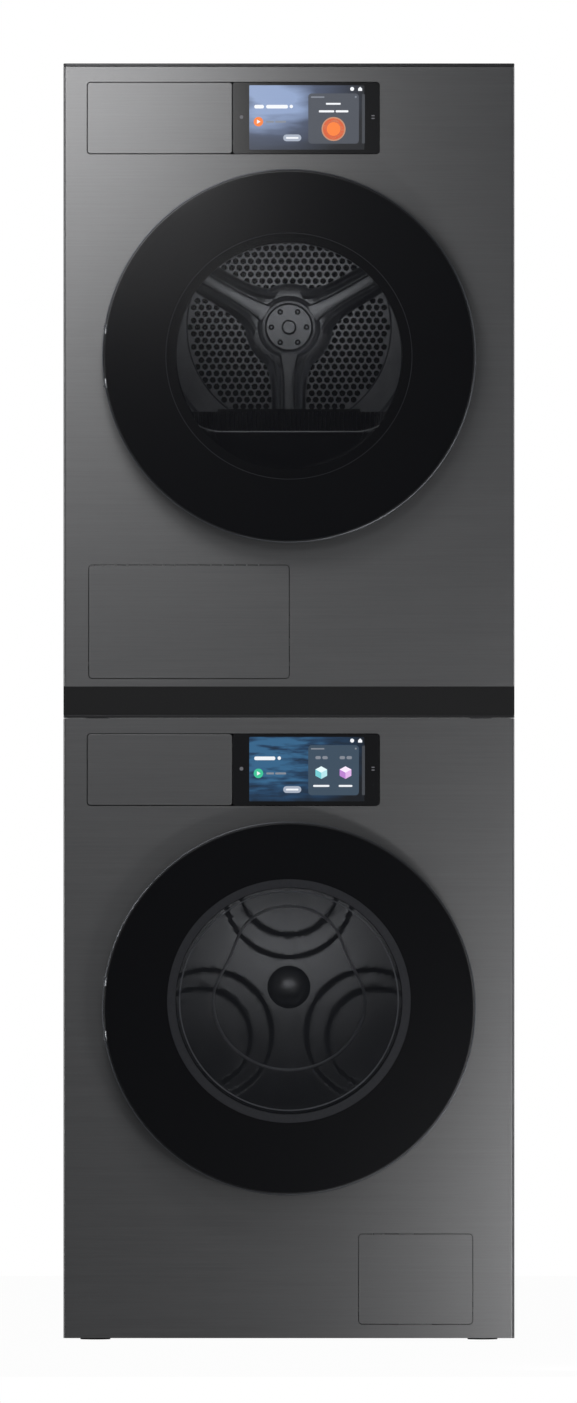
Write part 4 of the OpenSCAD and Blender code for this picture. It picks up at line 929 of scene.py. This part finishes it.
white_ink = lit("screen_white", (0.80, 0.82, 0.85))
soft_ink = lit("screen_soft_grey", (0.20, 0.22, 0.26))
pill_ink = lit("screen_pill", (0.34, 0.38, 0.46))
card_ink = {"dryer": lit("dryer_card", (0.060, 0.068, 0.086)),
            "washer": lit("washer_card", (0.035, 0.062, 0.095))}
orange_ink = lit("screen_orange", (0.85, 0.20, 0.035))
dial_ink = lit("screen_dial", (0.62, 0.10, 0.030))
dial_rim_ink = lit("screen_dial_rim", (0.50, 0.24, 0.14))
green_ink = lit("screen_green", (0.04, 0.50, 0.28))
teal_inks = [lit("cube_teal_top", (0.75, 0.90, 0.92)), lit("cube_teal_left", (0.16, 0.55, 0.60)),
             lit("cube_teal_right", (0.42, 0.72, 0.76))]
pink_inks = [lit("cube_pink_top", (0.88, 0.76, 0.92)), lit("cube_pink_left", (0.45, 0.20, 0.58)),
             lit("cube_pink_right", (0.68, 0.42, 0.74))]
strip_ink = lit("screen_strip", (0.045, 0.050, 0.060))
mark_ink = lit("glass_mark", (0.10, 0.10, 0.11))
pictures = {
    "dryer": lambda x, z: picture(
        "dryer_picture", (x + 0.030, 0, z + 0.066), (0.125, 9, 0.085), (0.002, 0.003, 0.005),
        (0.050, 0.070, 0.125), (0.26, 0.35, 0.56), ((0, math.radians(35), 0), (10, 10, 45), 0.35)),
    "washer": lambda x, z: picture(
        "washer_picture", (x + 0.030, 0, z + 0.060), (0.130, 9, 0.085), (0.001, 0.003, 0.006),
        (0.010, 0.045, 0.105), (0.030, 0.120, 0.240), ((0, 0, 0), (28, 28, 150), 0.75))}


def cube(u, v, inks):
    """A small capsule drawn as a cube: its top and two sides."""
    side, low = 0.0078, 0.0042
    return [([(u, v + low * 2), (u - side, v + low), (u, v), (u + side, v + low)], inks[0]),
            ([(u - side, v + low), (u - side, v - low), (u, v - low * 2), (u, v)], inks[1]),
            ([(u, v), (u, v - low * 2), (u + side, v - low), (u + side, v + low)], inks[2])]


for machine in ("washer", "dryer"):
    node = machine + "_display"
    low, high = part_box(node)
    edge_broken(node, machine + "_display_glass", display_black, 0.0005, 3)
    x0, z0 = low[0] + panel_left, low[2] + panel_low
    width, height = high[0] - panel_right - x0, high[2] - panel_top - z0
    face_y = low[1]
    screen = outline_plate(
        machine + "_lit_panel", rounded_box(x0, z0, x0 + width, z0 + height, 0.0012),
        face_y - 0.0001, 0.0003, pictures[machine](x0, z0))
    fitted(screen, "cabinets", "display_glass")
    is_dryer = machine == "dryer"
    shapes = [
        (rounded_box(0.0785, 0.0080, 0.1459, 0.0748, 0.0047), card_ink[machine]),
        (rounded_box(0.1500, 0.0082, 0.1538, 0.0740, 0.0010), strip_ink),
        (rounded_box(0.0067, 0.0548, 0.0195 if is_dryer else 0.0346, 0.0596, 0.0020), white_ink),
        (disc_outline(0.0559 if is_dryer else 0.0399, 0.0575, 0.0024, 8), white_ink),
        (disc_outline(0.0122, 0.0372, 0.0063), orange_ink if is_dryer else green_ink),
        (rounded_box(0.0226, 0.0358, 0.0330, 0.0384, 0.0010), soft_ink),
        (rounded_box(0.0345, 0.0358, 0.0490, 0.0384, 0.0010), soft_ink),
        (rounded_box(0.0452, 0.0112, 0.0692, 0.0202, 0.0044), pill_ink),
        (rounded_box(0.0820, 0.0690, 0.1000, 0.0708, 0.0008), soft_ink),
        (rounded_box(0.1405, 0.0690, 0.1428, 0.0713, 0.0005), soft_ink),
        (disc_outline(0.1369, 0.0808, 0.0027, 10), white_ink),
        ([(0.1448, 0.0782), (0.1502, 0.0782), (0.1502, 0.0812), (0.1475, 0.0838),
          (0.1448, 0.0812)], white_ink),
        (rounded_box(-0.0128, 0.0410, -0.0080, 0.0458, 0.0020), mark_ink),
        (rounded_box(0.1626, 0.0408, 0.1668, 0.0424, 0.0006), mark_ink),
        (rounded_box(0.1626, 0.0444, 0.1668, 0.0460, 0.0006), mark_ink)]
    top_layer = [
        ([(0.0103, 0.0344), (0.0150, 0.0372), (0.0103, 0.0400)], white_ink),
        (rounded_box(0.0490, 0.0145, 0.0654, 0.0168, 0.0008), white_ink)]
    if is_dryer:
        shapes.append((rounded_box(0.0225, 0.0548, 0.0515, 0.0596, 0.0020), white_ink))
        top_layer += [
            (disc_outline(0.1122, 0.0275, 0.0160), dial_rim_ink),
            (disc_outline(0.1122, 0.0275, 0.0143), dial_ink),
            (rounded_box(0.1020, 0.0598, 0.1216, 0.0622, 0.0009), white_ink),
            (rounded_box(0.0926, 0.0496, 0.1130, 0.0524, 0.0010), white_ink),
            (rounded_box(0.1150, 0.0496, 0.1318, 0.0524, 0.0010), white_ink)]
        finishing = [(disc_outline(0.1122, 0.0275, 0.0090), orange_ink)]
    else:
        for left in (0.0880, 0.0972, 0.1202, 0.1294):
            top_layer.append((rounded_box(left, 0.0560, left + 0.0072, 0.0602, 0.0019), soft_ink))
        top_layer += cube(0.0958, 0.0382, teal_inks) + cube(0.1280, 0.0382, pink_inks)
        top_layer += [(rounded_box(0.0850, 0.0192, 0.1066, 0.0218, 0.0010), white_ink),
                      (rounded_box(0.1190, 0.0192, 0.1372, 0.0218, 0.0010), white_ink)]
        finishing = []
    marks = []
    for layer, drawn in enumerate((shapes, top_layer, finishing)):
        for outline, ink in drawn:
            placed = [(x0 + u, z0 + v) for u, v in outline]
            top = face_y - 0.0002 - layer_step * layer - mark_step * len(marks)
            name = "%s_mark_%d" % (machine, len(marks) + 1)
            marks.append(outline_plate(name, placed, top, mark_gauge, ink))
    single_out(marks[0])
    for mark in marks:
        mark.select_set(True)
    bpy.ops.object.join()
    graphics = bpy.context.object
    graphics.name = machine + "_screen_marks"
    fitted(graphics, "cabinets", "display_glass")

# ---- Working parts inside the cabinets ----
# Moulded tub and housings, cast weights, castings and wound motors: each keeps its plain form
# and takes the finish of what it is made of.
finishes = {
    "door_hinges": steel_bits,
    "washer_door_lock": coating(
        "lock_black", (0.020, 0.020, 0.022), 0.0, 0.5, (260, 260, 260)),
    "outer_tub": coating(
        "tub_grey_plastic", (0.30, 0.31, 0.32), 0.0, 0.55, (70, 70, 70), 0.08, 0.06),
    "tub_bearings": steel_bits,
    "drum_spider": coating(
        "spider_cast_alloy", (0.36, 0.36, 0.37), 0.8, 0.5, (160, 160, 160), 0.14, 0.15),
    "motor_rotor": coating("rotor_plated_steel", (0.30, 0.31, 0.33), 0.9, 0.36, (90, 90, 90)),
    "motor_stator": coating(
        "stator_windings", (0.24, 0.10, 0.035), 0.6, 0.45, (40, 900, 40), 0.30, 0.25),
    "counterweights": coating(
        "cast_concrete", (0.28, 0.27, 0.255), 0.0, 0.9, (110, 110, 110), 0.22, 0.6),
    "damper_rods": steel_bits,
    "damper_tubes": coating("damper_black", (0.018, 0.018, 0.020), 0.1, 0.45, (200, 200, 200)),
    "washer_drum": wash_steel}
housing_white = coating(
    "housing_pale_plastic", (0.50, 0.51, 0.52), 0.0, 0.45, (120, 120, 120), 0.06, 0.05)
for node in ("drawer_housing", "detergent_drawer", "inlet_valve", "drain_pump", "pump_filter_cap",
             "tank_housing", "water_tank"):
    finishes[node] = housing_white
finishes["heat_pump"] = coating(
    "finned_aluminium", (0.44, 0.45, 0.46), 0.85, 0.38, (600, 30, 30), 0.20, 0.2)
finishes["drum_belt"] = coating(
    "belt_rubber", (0.014, 0.014, 0.015), 0.0, 0.75, (90, 700, 90), 0.2, 0.3)
finishes["dryer_motor"] = coating(
    "motor_casting", (0.20, 0.20, 0.21), 0.7, 0.5, (140, 140, 140), 0.15, 0.15)
finishes["motor_pulley"] = steel_bits
foot_rubber = coating("foot_rubber", (0.020, 0.020, 0.021), 0.0, 0.7, (260, 260, 260), 0.15, 0.15)
for corner in ("front_left", "front_right", "back_left", "back_right"):
    finishes["foot_" + corner] = foot_rubber
for node, finish in finishes.items():
    painted(frame["nodes"][node], finish)
springs = put_in("hanging_springs", frame["nodes"]["tub_springs"].data.copy())
reworked(gap=weld_gap)
smoothed(50)
painted(springs, steel_bits)
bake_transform(springs)
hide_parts("tub_springs")
